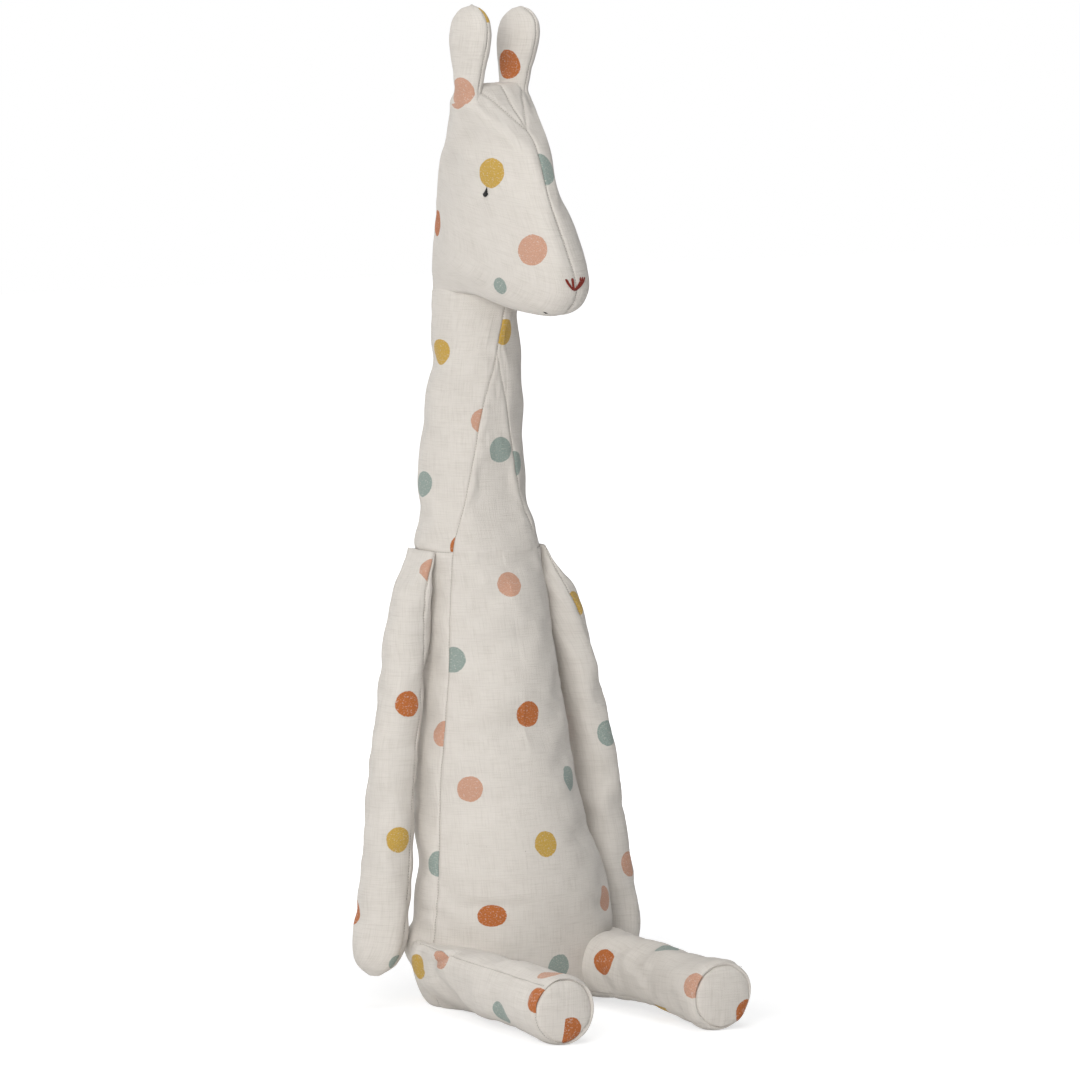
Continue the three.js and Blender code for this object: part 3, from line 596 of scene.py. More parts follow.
def make_head():
    angles = np.radians(column_marks(*HEAD_COLUMNS))
    steps = [0, 0.004, 0.01, 0.018, *np.linspace(0.028, 0.9, 100), *np.linspace(0.91, 1, 16)]
    rows = [head_ring(step, angles) for step in steps]
    curl = [
        rows[0] * np.array([share, share, 1]) + np.array([0, 0, rise])
        for share, rise in HEAD_RINGS
    ]
    last, middle = rows[-1], rows[-1].mean(axis=0)
    for share in CROWN_RINGS:
        rows.append(shrunk(last, middle, share, (0, 0, CROWN_RISE * (1 - share))))
    seams = [line_through(head_ring, a, np.linspace(0, 1, 500)) for a in (0.0, math.pi)]
    crown = head_ring(1.0, np.array([0.0, math.pi]))
    return np.stack(curl + rows), seams + [np.linspace(crown[0], crown[1], 40)]


def head_top(surface, x, y):
    """Where the top of the head, in its own frame, lies at a place of its plan."""
    return surface.ray_cast(Vector((x, y, 400)), Vector((0, 0, -1)))[0]


def bezier(a, b, c, count=60):
    t = np.linspace(0, 1, count)[:, None]
    a, b, c = (np.array(p, float) for p in (a, b, c))
    return (1 - t) ** 2 * a + 2 * t * (1 - t) * b + t * t * c


def crown_outline(side):
    """One edge of the lens between the ears, seen from above, front to back."""
    wide = CROWN_HALF_WIDTH * side
    (front_share, front_y), (back_share, back_y) = CROWN_FRONT_PULL, CROWN_BACK_PULL
    start, end = -EAR_FORWARD - CROWN_STRAIGHT, -EAR_FORWARD + CROWN_STRAIGHT
    front = bezier((0, -CROWN_FRONT), (wide * front_share, front_y), (wide, start))
    middle = bezier(front[-1], (wide * CROWN_BULGE, -EAR_FORWARD), (wide, end), 30)
    back = bezier(middle[-1], (wide * back_share, back_y), (0, CROWN_BACK))
    return np.concatenate([front, middle[1:], back[1:]])


def ear_ring(side, step, angles):
    """A ring of an ear, which widens a little on its inner side where it meets the crown."""
    wide, thick = row_at(EAR, step)
    above = step * EAR_LENGTH[side] - EAR_SINK
    inward = np.clip(-side * np.sin(angles), 0, 1)
    flare = EAR_FLARE * math.exp(-max(above + 1, 0) / FLARE_REACH) * inward
    x = side * (EAR_SPREAD[side] - step * EAR_LEAN[side])
    return points_of(
        x + (EAR_HALF_THICKNESS * thick + flare) * np.sin(angles),
        -EAR_FORWARD - EAR_TIP_FORWARD * step - EAR_HALF_WIDTH * wide * np.cos(angles),
        EAR_TOP + above,
    )


def make_ear(side):
    """Ear rows from below the head's surface to the tip; seams at its front and back edges."""
    angles = np.radians(column_marks(*EAR_COLUMNS))
    steps = [*np.linspace(0, 0.9, 50), 0.92, 0.94, 0.955, 0.968, 0.979, 0.988, 0.995, 1]
    ring = partial(ear_ring, side)
    rows = [ring(step, angles) for step in steps]
    rows.append(shrunk(rows[-1], rows[-1].mean(axis=0), TIP_RING, (0, 0, EAR_TIP)))
    return np.stack(rows), edge_seams(ring, np.linspace(0, 1, 240))


def laid_on(rows, side, surface):
    """Ear rows whose outer face runs down into the side of the head without a step."""
    outward = turned(np.array([side, 0.0, 0.0]), HEAD_TURN)
    top = NECK_TOP + EAR_TOP
    middles = rows.mean(axis=1, keepdims=True)
    away = rows - middles
    away[..., 2] = 0
    reach = np.linalg.norm(away, axis=2, keepdims=True)
    away /= reach
    more = np.zeros(rows.shape[:2])
    for i, row in enumerate(rows):
        below = top - row[0, 2]
        share = float(smooth(LAID_FROM, LAID_FULL, below))
        depth = LAID_GAP - SINK * float(smooth(SINK_FROM, SINK_FULL, below))
        for j in range(len(row)):
            facing = float(away[i, j] @ outward)
            if share == 0 or facing <= 0:
                continue
            start = Vector(middles[i, 0] + away[i, j] * 60)
            hit = surface.ray_cast(start, Vector(-away[i, j]))[0]
            if hit is not None:
                found = np.linalg.norm(np.array(hit)[:2] - middles[i, 0, :2]) + depth
                found = (found - reach[i, j, 0]) * float(smooth(0, FACING_FULL, facing))
                more[i, j] = np.clip(max(found, found * share), LEAST_MOVE, MOST_MOVE)
    return rows + away * softened(more, LAID_PASSES)[..., None]


SHOULDER_WIDTH, _, SHOULDER_MIDDLE = body_section(SHOULDER)


def arm_ring(side, step, angles):
    """One ring of an arm; angle 0 is its front seam, which turns with the hanging arm."""
    outward, forward, down = row_at(ARM_LINE, step)
    outward += np.interp(step, ARM_BEND[0], ARM_BEND[side])
    thick, wide = row_at(ARM, step)
    angles = angles - side * ARM_TWIST[side] * smooth(*TWIST_SPAN, step)
    return points_of(
        side * (SHOULDER_WIDTH + outward * ARM_SPREAD) + ARM_RADIUS * thick * np.sin(angles),
        SHOULDER_MIDDLE - forward * ARM_FORWARD - ARM_RADIUS * wide * np.cos(angles),
        SHOULDER - down * ARM_DROP,
    )


def make_arm(side):
    angles = -np.radians(column_marks(*ARM_COLUMNS))
    steps = [0, 0.006, 0.013, 0.02, *np.linspace(0.028, 0.93, 106)]
    steps += [0.94, 0.95, 0.96, 0.968, 0.976, 0.983, 0.989, 0.994, 0.998, 1]
    ring = partial(arm_ring, side)
    rows = [ring(step, angles) for step in steps]
    rows.append(shrunk(rows[-1], rows[-1].mean(axis=0), TIP_RING, (0, 0, -ARM_TIP)))
    return np.stack(rows), edge_seams(ring, np.linspace(0, 1, 700))


def leg_root_ring(side, rise, angles):
    """A ring of the hip, where the leg runs back into the side of the body."""
    radius = LEG_ROOT * (1 - 0.3 * rise * rise)
    ring = leg_ring(side, 0, angles, radius, LEG_ROOT - radius, 1 - rise)
    return ring + np.array([-side * HIP_INWARD * rise**1.4, HIP_DEPTH * rise, HIP_RISE * rise])


def leg_ring(side, step, angles, radius=None, lift=0.0, drawn_out=1.0):
    """A ring of a leg; near the hip its top outer corner is drawn out to a point."""
    gone = float(row_at(LEG, step)[0])
    waist = LEG_WAIST[side] * max(math.sin(math.pi * min(step / 0.9, 1)), 0) ** 0.7
    radius = radius or LEG_ROOT + (LEG_RADIUS - LEG_ROOT) * gone - waist
    lift += waist * LEG_LIFT[side]
    x = side * (LEG_SPREAD + (FOOT_SPREAD[side] - LEG_SPREAD) * step)
    angles = angles + side * LEG_TWIST
    across, above = np.sin(angles), np.cos(angles)
    hip = float(1 - HIP_FADED * smooth(*HIP_FADE, step)) * drawn_out
    drawn = 1 + hip * (HIP_UP * above - HIP_PINCH)
    outer, inner = np.clip(side * across, 0, 1), np.clip(-side * across, 0, 1)
    corner = float(1 - smooth(*CORNER_FADE, step)) * drawn_out * HIP_CORNER * outer**2
    inward = float(1 - smooth(*ROOT_FADE, step)) * LEG_INWARD[side] * inner**1.5
    z = radius - FOOT_FLAT + lift + radius * above + corner * np.clip(above, 0, 1) * 2
    return points_of(
        x + radius * across * drawn - side * (hip * HIP_LEAN * (1 - above) + inward),
        -LEG_ROOT_REACH - (FOOT_REACH - LEG_ROOT_REACH) * step,
        np.maximum(z, 0),
    )


def make_leg(side):
    """Leg rows from beside the body to the sole's rim; angle 0 is the seam along the top."""
    angles = -np.radians(column_marks(*LEG_COLUMNS))
    ring = partial(leg_ring, side)
    rows = [leg_root_ring(side, rise, angles) for rise in np.linspace(1, 0.05, 20)]
    rows += [ring(step, angles) for step in np.linspace(0, 0.955, 84)]
    for step, share in FOOT_ROUND:
        radius = LEG_RADIUS - (LEG_RADIUS - SOLE_RADIUS) * share
        rows.append(ring(step, angles, radius, LEG_RADIUS - radius))
    rim = rows[-1]
    middle = np.array([side * FOOT_SPREAD[side], rim[0, 1], LEG_RADIUS - FOOT_FLAT])
    for share, back in FOOT_RINGS:
        rows.append(shrunk(rim, middle, share, (0, back, 0)))
    return np.stack(rows), edge_seams(ring, np.linspace(0, 0.996, 500))


def make_sole(side):
    """A round patch, domed forward, from its rim to its middle."""
    angles = -np.radians(np.arange(0, 360, SOLE_COLUMN))
    rows = []
    for share, ahead in SOLE:
        x = side * FOOT_SPREAD[side] + SOLE_RADIUS * share * np.sin(angles)
        z = LEG_RADIUS - FOOT_FLAT + SOLE_RADIUS * share * np.cos(angles)
        rows.append(points_of(x, -FOOT_REACH - ahead + SOLE_BACK, z))
    return np.stack(rows)


def seam_field(points, seams):
    """Distance to the nearest seam, and the place along it."""
    samples = np.concatenate(seams)
    owner = np.concatenate([np.full(len(s), i) for i, s in enumerate(seams)])
    lengths = []
    for i, seam in enumerate(seams):
        steps = np.linalg.norm(np.diff(seam, axis=0), axis=1)
        lengths.append(np.concatenate([[0], np.cumsum(steps)]) + 1000 * i)
    along = np.concatenate(lengths)
    tree = lookup(samples)
    nearest = np.array([tree.find(p)[1] for p in points])
    best = np.linalg.norm(points - samples[nearest], axis=1)
    place = along[nearest].copy()
    for step in (-1, 1):
        other = np.clip(nearest + step, 0, len(samples) - 1)
        valid = owner[other] == owner[nearest]
        a, b = samples[nearest], samples[other]
        run = b - a
        size = np.maximum((run**2).sum(axis=1), 1e-12)
        t = np.clip(((points - a) * run).sum(axis=1) / size, 0, 1)
        gap = np.linalg.norm(points - a - t[:, None] * run, axis=1)
        better = valid & (gap < best)
        best = np.where(better, gap, best)
        place = np.where(better, along[nearest] + t * (along[other] - along[nearest]), place)
    return best, place


def noise_of(points, scale, seed=0.0):
    shift = Vector((seed * 17.3, seed * 5.1, -seed * 9.7))
    return np.array([noise.noise(Vector(p) / scale + shift) for p in points])


def relief(points, distance, place, sides, seed, groove, pucker, swell):
    """The cut of the seams, and how far each point stands out from the plain form: puffed up
    beside the seams, puckered along them and softly swollen."""
    cut = -groove * np.exp(-((distance / GROOVE_WIDTH) ** 2))
    out = PUFF_HEIGHT * (distance / PUFF_REACH) * np.exp(1 - distance / PUFF_REACH)
    close = distance < PUCKER_LIMIT
    lines = np.stack([place, 40.0 * sides + seed, np.zeros(len(place))], axis=1)
    small, large = np.zeros(len(points)), np.zeros(len(points))
    small[close] = noise_of(lines[close], SMALL_PUCKER, seed)
    large[close] = noise_of(lines[close], LARGE_PUCKER, seed + 2)
    start = 1 - np.exp(-((distance / PUCKER_START) ** 2))
    out += pucker * small * SMALL_HEIGHT * np.exp(-distance / SMALL_REACH) * start
    out += pucker * large * LARGE_HEIGHT * np.exp(-distance / LARGE_REACH)
    out += swell * noise_of(points, LARGE_SWELL, seed)
    out += SMALL_SHARE * swell * noise_of(points, SMALL_SWELL, seed + 1)
    return cut, out


def dot_centre(tree, px, py, points, normals):
    """Where a pixel's ray meets a form, or the nearest point of its outline."""
    hit = tree.ray_cast(Vector(EYE), Vector(pixel_ray(px, py)))[0]
    if hit is not None:
        return np.array(hit)
    gap = np.linalg.norm(pixels_of(points) - np.array([px, py]), axis=1)
    gap[(normals @ TOWARD) <= -0.1] = 1e9
    return points[int(np.argmin(gap))]


def place_dots(points, normals, tree, gusset, half, shown, hidden, seed):
    """Signed distance to the nearest dot's edge and its colour, for each of three panels."""

    def panel_at(i):
        return "C" if gusset[i] > 0 else "A" if half[i] > 0 else "B"

    dots = []
    for px, py, colour, panel, *more in shown:
        centre = dot_centre(tree, px, py, points, normals)
        panel = panel or panel_at(int(np.argmin(np.linalg.norm(points - centre, axis=1))))
        dots.append((centre, colour, panel, *more, *USUAL_DOT[len(more) :]))
    colours = list(PRINT)
    added = 0
    shows = lookup(points[(normals @ TOWARD) > 0])
    for i in np.random.default_rng(seed).permutation(len(points)):
        if added >= hidden:
            break
        if shows.find(points[i])[2] < DOT_HIDING:
            continue
        if all(np.linalg.norm(points[i] - d[0]) > DOT_SPACING for d in dots):
            colour, radius = colours[(added * 3 + seed) % 4], 9.6 + (added % 3) * 0.3
            dots.append((points[i], colour, panel_at(i), radius, *USUAL_DOT[1:]))
            added += 1
    result = {}
    for panel in "ABC":
        edge = np.full(len(points), NO_DOT)
        paint = np.tile(np.array([0.5, 0.5, 0.5, 1.0]), (len(points), 1))
        for centre, colour, where, radius, squeeze, lowest in dots:
            if where != panel:
                continue
            away = (points - centre) * np.array([1, 1, squeeze])
            gap = np.linalg.norm(away, axis=1) - radius
            gap[points[:, 2] < lowest] = NO_DOT
            closer = gap < edge
            edge[closer] = gap[closer]
            paint[closer] = (*PRINT[colour], 1.0)
        result[panel] = (np.clip(edge, -NO_DOT, NO_DOT) * MM, paint)
    return result


def new_object(name, points, faces, material=None, smooth_faces=True):
    mesh = bpy.data.meshes.new(name)
    mesh.from_pydata([tuple(p * MM) for p in points], [], faces)
    if material:
        mesh.materials.append(material)
        if smooth_faces:
            mesh.polygons.foreach_set("use_smooth", [True] * len(mesh.polygons))
    mesh.update()
    obj = bpy.data.objects.new(name, mesh)
    bpy.context.scene.collection.objects.link(obj)
    return obj


def set_attribute(obj, name, kind, values):
    attribute = obj.data.attributes.new(name, kind, "POINT")
    key = {"FLOAT": "value", "FLOAT_VECTOR": "vector", "FLOAT_COLOR": "color"}[kind]
    attribute.data.foreach_set(key, np.ascontiguousarray(values, np.float32).ravel())


def cloth_coordinates(grid, flat):
    """Distance round each row from its front column and along the columns, which are the weave's
    own directions; a flat patch takes its plan."""
    rows, columns = grid.shape[:2]
    if flat:
        return grid[..., 0], grid[..., 2]
    front = columns // 2 - 1
    around = np.zeros((rows, columns))
    steps = np.linalg.norm(grid - np.roll(grid, 1, 1), axis=2)
    order = [(front + k) % columns for k in range(columns)]
    for k in range(1, columns // 2 + 1):
        a, b = order[k], order[k - 1]
        around[:, a] = around[:, b] + steps[:, a]
    for k in range(columns - 1, columns // 2, -1):
        a, b = order[k], order[(k + 1) % columns]
        around[:, a] = around[:, b] - steps[:, b]
    along = np.zeros((rows, columns))
    lengths = np.linalg.norm(np.diff(grid, axis=0), axis=2)
    along[1:] = np.cumsum(lengths, axis=0).mean(axis=1, keepdims=True)
    return around, along


def creased(grid, points, creases):
    """Height of the folds that show in the cloth, each led through its pixels."""
    tree = surface_of(grid)
    height = np.zeros(len(points))
    for depth, width, *pixels in creases:
        line = []
        for start, end in zip(np.array(pixels[:-1], float), np.array(pixels[1:], float)):
            for t in np.linspace(0, 1, CREASE_STEPS):
                ray = pixel_ray(*(start + (end - start) * t))
                hit = tree.ray_cast(Vector(EYE), Vector(ray))[0]
                if hit is not None:
                    line.append(np.array(hit))
        if len(line) < CREASE_LEAST:
            continue
        line = np.array(line)
        gap, place = seam_field(points, [line])
        length = np.linalg.norm(np.diff(line, axis=0), axis=1).sum()
        fade = np.sin(math.pi * np.clip(place / length, 0.02, 0.98)) ** CREASE_FADE
        beside = RIDGE_HEIGHT * np.exp(-(((gap - RIDGE_PLACE * width) / width) ** 2))
        height += depth * fade * (beside - np.exp(-((gap / width) ** 2)))
    return height


def thinned(places, keep):
    """Which places to keep so that neighbours are a little over the cloth's gap apart."""
    kept = [0]
    for i in range(1, len(places)):
        if i == keep or places[i] - places[kept[-1]] >= CLOTH_GAP:
            kept.append(i)
    return kept


def simulated(coarse, held, excess):
    """How a thinned grid moves when it is held at the seams, with excess cloth and stuffing."""
    obj = new_object("cloth", coarse.reshape(-1, 3), capped_faces(*held.shape))
    group = obj.vertex_groups.new(name="sewn")
    for i, weight in enumerate(held.ravel()):
        group.add([i], float(weight), "REPLACE")
    cloth = obj.modifiers.new("cloth", "CLOTH")
    cloth.point_cache.frame_end = CLOTH_FRAMES
    settings = cloth.settings
    settings.quality = CLOTH_QUALITY
    settings.mass = CLOTH_MASS
    settings.tension_stiffness = settings.compression_stiffness = CLOTH_STRETCH
    settings.shear_stiffness = CLOTH_SHEAR
    settings.bending_stiffness = CLOTH_BEND
    settings.use_pressure = True
    settings.uniform_pressure_force = CLOTH_PRESSURE
    settings.effector_weights.gravity = 0
    settings.shrink_min = -excess
    settings.vertex_group_mass = "sewn"
    for number in range(1, CLOTH_FRAMES + 1):
        bpy.context.scene.frame_set(number)
    result = obj.evaluated_get(bpy.context.evaluated_depsgraph_get()).data
    place = np.empty(len(result.vertices) * 3)
    result.vertices.foreach_get("co", place)
    mesh = obj.data
    bpy.data.objects.remove(obj)
    bpy.data.meshes.remove(mesh)
    bpy.context.scene.frame_set(1)
    return place.reshape(coarse.shape) / MM - coarse


def draped(grid, distance, excess):
    """How the cloth of a form moves, simulated on a thinned grid and spread over the full one."""
    rows, columns = grid.shape[:2]
    if excess == 0:
        return np.zeros((rows * columns, 3))
    up = np.cumsum([0, *np.linalg.norm(np.diff(grid, axis=0), axis=2).mean(axis=1)])
    girths = np.linalg.norm(grid - np.roll(grid, 1, 1), axis=2).sum(axis=1)
    widest = grid[int(np.argmax(girths))]
    around = np.cumsum([0, *np.linalg.norm(np.diff(widest, axis=0), axis=1)])
    total = around[-1] + np.linalg.norm(widest[0] - widest[-1])
    r, c = thinned(up, rows - 1), thinned(around, columns // 2 - 1)
    held = 1 - smooth(HELD_TO, FREE_FROM, distance.reshape(rows, columns)[np.ix_(r, c)])
    held[0] = held[-1] = 1
    shift = simulated(grid[np.ix_(r, c)], held, excess)
    size = np.linalg.norm(shift, axis=2, keepdims=True)
    shift *= np.minimum(1, CLOTH_LIMIT / np.maximum(size, 1e-6))
    shift = np.concatenate([shift, shift[:, :1]], axis=1)
    at = np.append(around[c], total)
    wide = np.array([[np.interp(around, at, line[:, k]) for k in range(3)] for line in shift])
    fine = np.empty(grid.shape)
    for j in range(columns):
        for k in range(3):
            fine[:, j, k] = np.interp(up, up[r], wide[:, k, j])
    return softened(fine, CLOTH_PASSES).reshape(-1, 3)


class Skin:
    """A sewn and stuffed form: its piece, and its points before and after relief and print."""

    def __init__(
        self, name, grid, seams, seed, shown, hidden, groove=0.6, pucker=1.0, swell=0.9,
        excess=0.0, creases=(), gusset=None, fixed=None, form=None, flat=False,
    ):
        rows, columns = grid.shape[:2]
        points = grid.reshape(-1, 3)
        normals = grid_normals(grid).reshape(-1, 3)
        form = grid if form is None else form
        half = np.tile(np.sin(np.linspace(-math.pi, math.pi, columns + 1)[1:]), rows)
        distance, place = seam_field(points, seams)
        sides = np.sign(np.round(half, 6))
        cut, height = relief(points, distance, place, sides, seed, groove, pucker, swell)
        if creases:
            height = height + creased(form, points, creases)
        shift = draped(form, distance, excess)
        away = smooth(HELD_TO, GROWTH_FROM, distance)
        grown = ((shift * normals).sum(axis=1) * away).mean() / away.mean()
        shift -= normals * (GROWTH_TAKEN_BACK * grown * away)[:, None]
        if fixed is not None:
            still = fixed(points)
            height = height * still
            shift *= still[:, None]
        moved = points + normals * (height + cut)[:, None] + shift
        moved[:, 2] = np.maximum(moved[:, 2], 0.0)
        self.points, self.moved, self.normals = points, moved, normals
        self.surface = surface_of(moved.reshape(grid.shape))
        self.piece = new_object(name, moved, capped_faces(rows, columns), LINEN)
        gusset = np.full(len(points), -NO_DOT) if gusset is None else gusset
        dots = place_dots(moved, normals, self.surface, gusset, half, shown, hidden, seed)
        for panel, (edge, paint) in dots.items():
            set_attribute(self.piece, "dots" + panel, "FLOAT", edge)
            set_attribute(self.piece, "paint" + panel, "FLOAT_COLOR", paint)
        weave = points_of(*cloth_coordinates(grid, flat), 31.0 * seed)
        set_attribute(self.piece, "gusset", "FLOAT", np.clip(gusset, -NO_DOT, NO_DOT) * MM)
        set_attribute(self.piece, "half", "FLOAT", half)
        set_attribute(self.piece, "rest", "FLOAT_VECTOR", points * MM)
        set_attribute(self.piece, "cloth", "FLOAT_VECTOR", weave * MM)

    def stitched(self, name, seams):
        """Short threads that lie in the form's seams."""
        tree = lookup(self.points)
        shift = self.moved - self.points
        faces = [(f[0], *f[:0:-1]) for f in capped_faces(len(STITCH), STITCH_SIDES)]

        def settled(p):
            near = tree.find_n(p, 3)
            weights = np.array([1 / (0.05 + n[2]) for n in near])
            weights /= weights.sum()
            index = [n[1] for n in near]
            normal = self.normals[index].T @ weights
            normal /= np.linalg.norm(normal)
            return p + shift[index].T @ weights + STITCH_LIFT * normal, normal

        threads = []
        for seam in seams:
            along = np.cumsum([0, *np.linalg.norm(np.diff(seam, axis=0), axis=1)])
            for k in range(int(along[-1] // STITCH_PITCH)):
                ends = (k + 0.5) * STITCH_PITCH + np.array([-0.5, 0.5]) * STITCH_LENGTH
                line = np.stack([np.interp(ends, along, seam[:, axis]) for axis in range(3)], 1)
                (a, up), (b, _) = settled(line[0]), settled(line[1])
                run = b - a
                if np.linalg.norm(run) < STITCH_LEAST:
                    continue
                across = np.cross(run, up)
                across /= np.linalg.norm(across)
                thread = []
                for t, radius in STITCH:
                    centre = a + run * t - up * (STITCH_DIP if t in (0, 1) else 0)
                    thread += circle(centre, across, up, radius, STITCH_SIDES)
                threads.append((thread, faces))
        return merged(name, threads, THREAD)


def circle(centre, a, b, radius, sides):
    angles = [TURN * j / sides for j in range(sides)]
    return [centre + radius * (math.cos(t) * a + math.sin(t) * b) for t in angles]


def merged(name, shapes, material):
    """One object from the points and faces of several shapes."""
    points, faces = [], []
    for more, closed in shapes:
        first = len(points)
        points += more
        faces += [tuple(first + i for i in face) for face in closed]
    return new_object(name, np.array(points), faces, material)


def tube(line, radius, sides=7):
    """Points and faces of a round thread along a line, closed and a little thinner at its ends."""
    line = np.array(line, float)
    t = np.linspace(0, 1, len(line))
    radii = radius * np.clip(np.minimum(t, 1 - t) * 8, 0.35, 1)
    along = np.gradient(line, axis=0)
    along /= np.linalg.norm(along, axis=1, keepdims=True)
    up = np.array([0.31, 0.17, 0.93])
    points = []
    for p, direction, wide in zip(line, along, radii):
        a = np.cross(direction, up)
        a /= np.linalg.norm(a)
        points += circle(p, a, np.cross(direction, a), wide, sides)
    return points, capped_faces(len(line), sides)


class Nodes:
    """A node tree being written: add() makes a node and links or sets its inputs."""

    def __init__(self, owner):
        owner.use_nodes = True
        self.owner, self.tree = owner, owner.node_tree
        self.tree.nodes.clear()

    def add(self, kind, inputs=None, **settings):
        node = self.tree.nodes.new("ShaderNode" + kind)
        for key, value in settings.items():
            setattr(node, key, value)
        for key, value in (inputs or {}).items():
            if isinstance(value, bpy.types.NodeSocket):
                self.tree.links.new(value, node.inputs[key])
            else:
                node.inputs[key].default_value = value
        return node

    def math(self, operation, a, b=0.0, c=0.0, clamp=False):
        node = self.add("Math", {0: a, 1: b, 2: c}, operation=operation, use_clamp=clamp)
        return node.outputs[0]

    def attribute(self, name, output="Fac"):
        return self.add("Attribute", attribute_name=name).outputs[output]

    def mix(self, factor, a, b):
        return self.add("Mix", {0: factor, 2: a, 3: b}, data_type="FLOAT").outputs[0]

    def mix_colour(self, factor, a, b, blend="MIX"):
        inputs = {0: factor, 6: a, 7: b}
        return self.add("Mix", inputs, data_type="RGBA", blend_type=blend).outputs[2]

    def grey(self, tone):
        return self.add("CombineColor", {0: tone, 1: tone, 2: tone}).outputs[0]

    def scaled(self, place, scale):
        return self.add("VectorMath", {0: place, 1: scale}, operation="MULTIPLY").outputs[0]

    def noise(self, place, scale, detail=2.0, rough=0.5):
        inputs = {"Scale": 1.0, "Detail": detail, "Roughness": rough}
        inputs["Vector"] = self.scaled(place, scale)
        return self.add("TexNoise", inputs).outputs["Fac"]

    def ramp(self, value, low, high, to_low=0.0, to_high=1.0):
        inputs = {"Value": value, "From Min": low, "From Max": high}
        inputs.update({"To Min": to_low, "To Max": to_high})
        return self.add("MapRange", inputs, interpolation_type="SMOOTHSTEP").outputs[0]

    def bump(self, strength, distance, height):
        inputs = {"Strength": strength, "Distance": distance, "Height": height}
        return {"Normal": self.add("Bump", inputs).outputs[0]}

    def surface(self, colour, roughness, more):
        inputs = {"Base Color": colour, "Roughness": roughness, "Specular IOR Level": 0.25}
        return self.add("BsdfPrincipled", {**inputs, **more}).outputs[0]

    def seen_directly(self):
        """1 for rays from the camera and for reflections, 0 for light on the object."""
        path = self.add("LightPath").outputs
        return self.math("ADD", path["Is Camera Ray"], path["Is Glossy Ray"], clamp=True)

    def finish(self, shader, kind="OutputMaterial"):
        self.add(kind, {0: shader})
        return self.owner


def linen_material():
    """Plain-woven linen with slubs, small flecks and a printed dot pattern."""
    s = Nodes(bpy.data.materials.new("printed_linen_cloth"))
    rest, cloth = s.attribute("rest", "Vector"), s.attribute("cloth", "Vector")
    across, along = (s.noise(cloth, scale) for scale in ((1400, 55, 1), (55, 1400, 1)))
    slub = s.math("ADD", s.ramp(across, 0.42, 0.78), s.ramp(along, 0.42, 0.78))
    cloud = s.math("MULTIPLY_ADD", s.noise(rest, (60, 60, 60), 3.0), 0.5, -0.2)
    tone = s.math("MULTIPLY_ADD", slub, 0.5, cloud, clamp=True)
    linen = s.mix_colour(tone, LINEN_LIGHT, LINEN_DARK)

    inputs = {"Vector": s.scaled(rest, (75, 75, 75)), "Scale": 1.0}
    specks = s.add("TexVoronoi", inputs, feature="F1").outputs
    size = s.math("MULTIPLY", s.add("SeparateColor", {0: specks["Color"]}).outputs[0], 0.06)
    speck = s.math("LESS_THAN", specks["Distance"], s.math("SUBTRACT", size, 0.032))
    linen = s.mix_colour(s.math("MULTIPLY", speck, 0.6), linen, FLECK)

    in_gusset = s.math("GREATER_THAN", s.attribute("gusset"), 0.0)
    in_left = s.math("GREATER_THAN", s.attribute("half"), 0.0)
    edge = s.mix(in_left, s.attribute("dotsB"), s.attribute("dotsA"))
    edge = s.mix(in_gusset, edge, s.attribute("dotsC"))
    paint = [s.attribute("paint" + panel, "Color") for panel in "ABC"]
    paint = s.mix_colour(in_gusset, s.mix_colour(in_left, paint[1], paint[0]), paint[2])
    for scale, detail, width in ((950, 2.0, 0.0008), (130, 1.0, 0.0014)):
        rough = s.math("SUBTRACT", s.noise(rest, (scale, scale, scale), detail), 0.5)
        edge = s.math("MULTIPLY_ADD", rough, width, edge)
    printed = s.ramp(edge, -0.00022, 0.00022, 1.0, 0.0)
    missed = s.ramp(s.noise(cloth, (700, 900, 1), 3.0, 0.6), 0.54, 0.7, 0.0, 0.55)
    grain = s.ramp(s.noise(cloth, (1900, 1900, 1), 1.0), 0.3, 0.75, 0.84, 1.12)
    paint = s.mix_colour(1.0, paint, s.grey(grain), "MULTIPLY")
    printed = s.math("MULTIPLY", printed, s.math("SUBTRACT", 1.0, missed))
    colour = s.mix_colour(printed, linen, paint)

    parts = s.add("SeparateXYZ", {0: cloth}).outputs
    drift = s.math("MULTIPLY", s.noise(rest, (300, 300, 300)), 5.0)
    turn = math.pi / THREAD_PITCH
    warp, weft = (s.math("COSINE", s.math("MULTIPLY_ADD", p, turn, drift)) for p in parts[:2])
    weave = s.math("MULTIPLY", s.math("MULTIPLY", warp, weft), 0.5)
    bump = s.bump(0.55, 0.00022, s.math("MULTIPLY_ADD", slub, 0.9, weave))
    sheen = {"Sheen Weight": 0.12, "Sheen Roughness": 0.5}
    return s.finish(s.surface(colour, 0.93, {**sheen, **bump}))


def thread_material(name, colour, roughness=0.6):
    s = Nodes(bpy.data.materials.new(name))
    strand = s.noise(s.add("TexCoord").outputs["Object"], (2600, 2600, 900))
    shade = s.grey(s.ramp(strand, 0.3, 0.75, 0.75, 1.25))
    mixed = s.mix_colour(1.0, (*colour, 1), shade, "MULTIPLY")
    sheen = {"Sheen Weight": 0.1, "Sheen Roughness": 0.5}
    return s.finish(s.surface(mixed, roughness, {**sheen, **s.bump(0.5, 0.0001, strand)}))


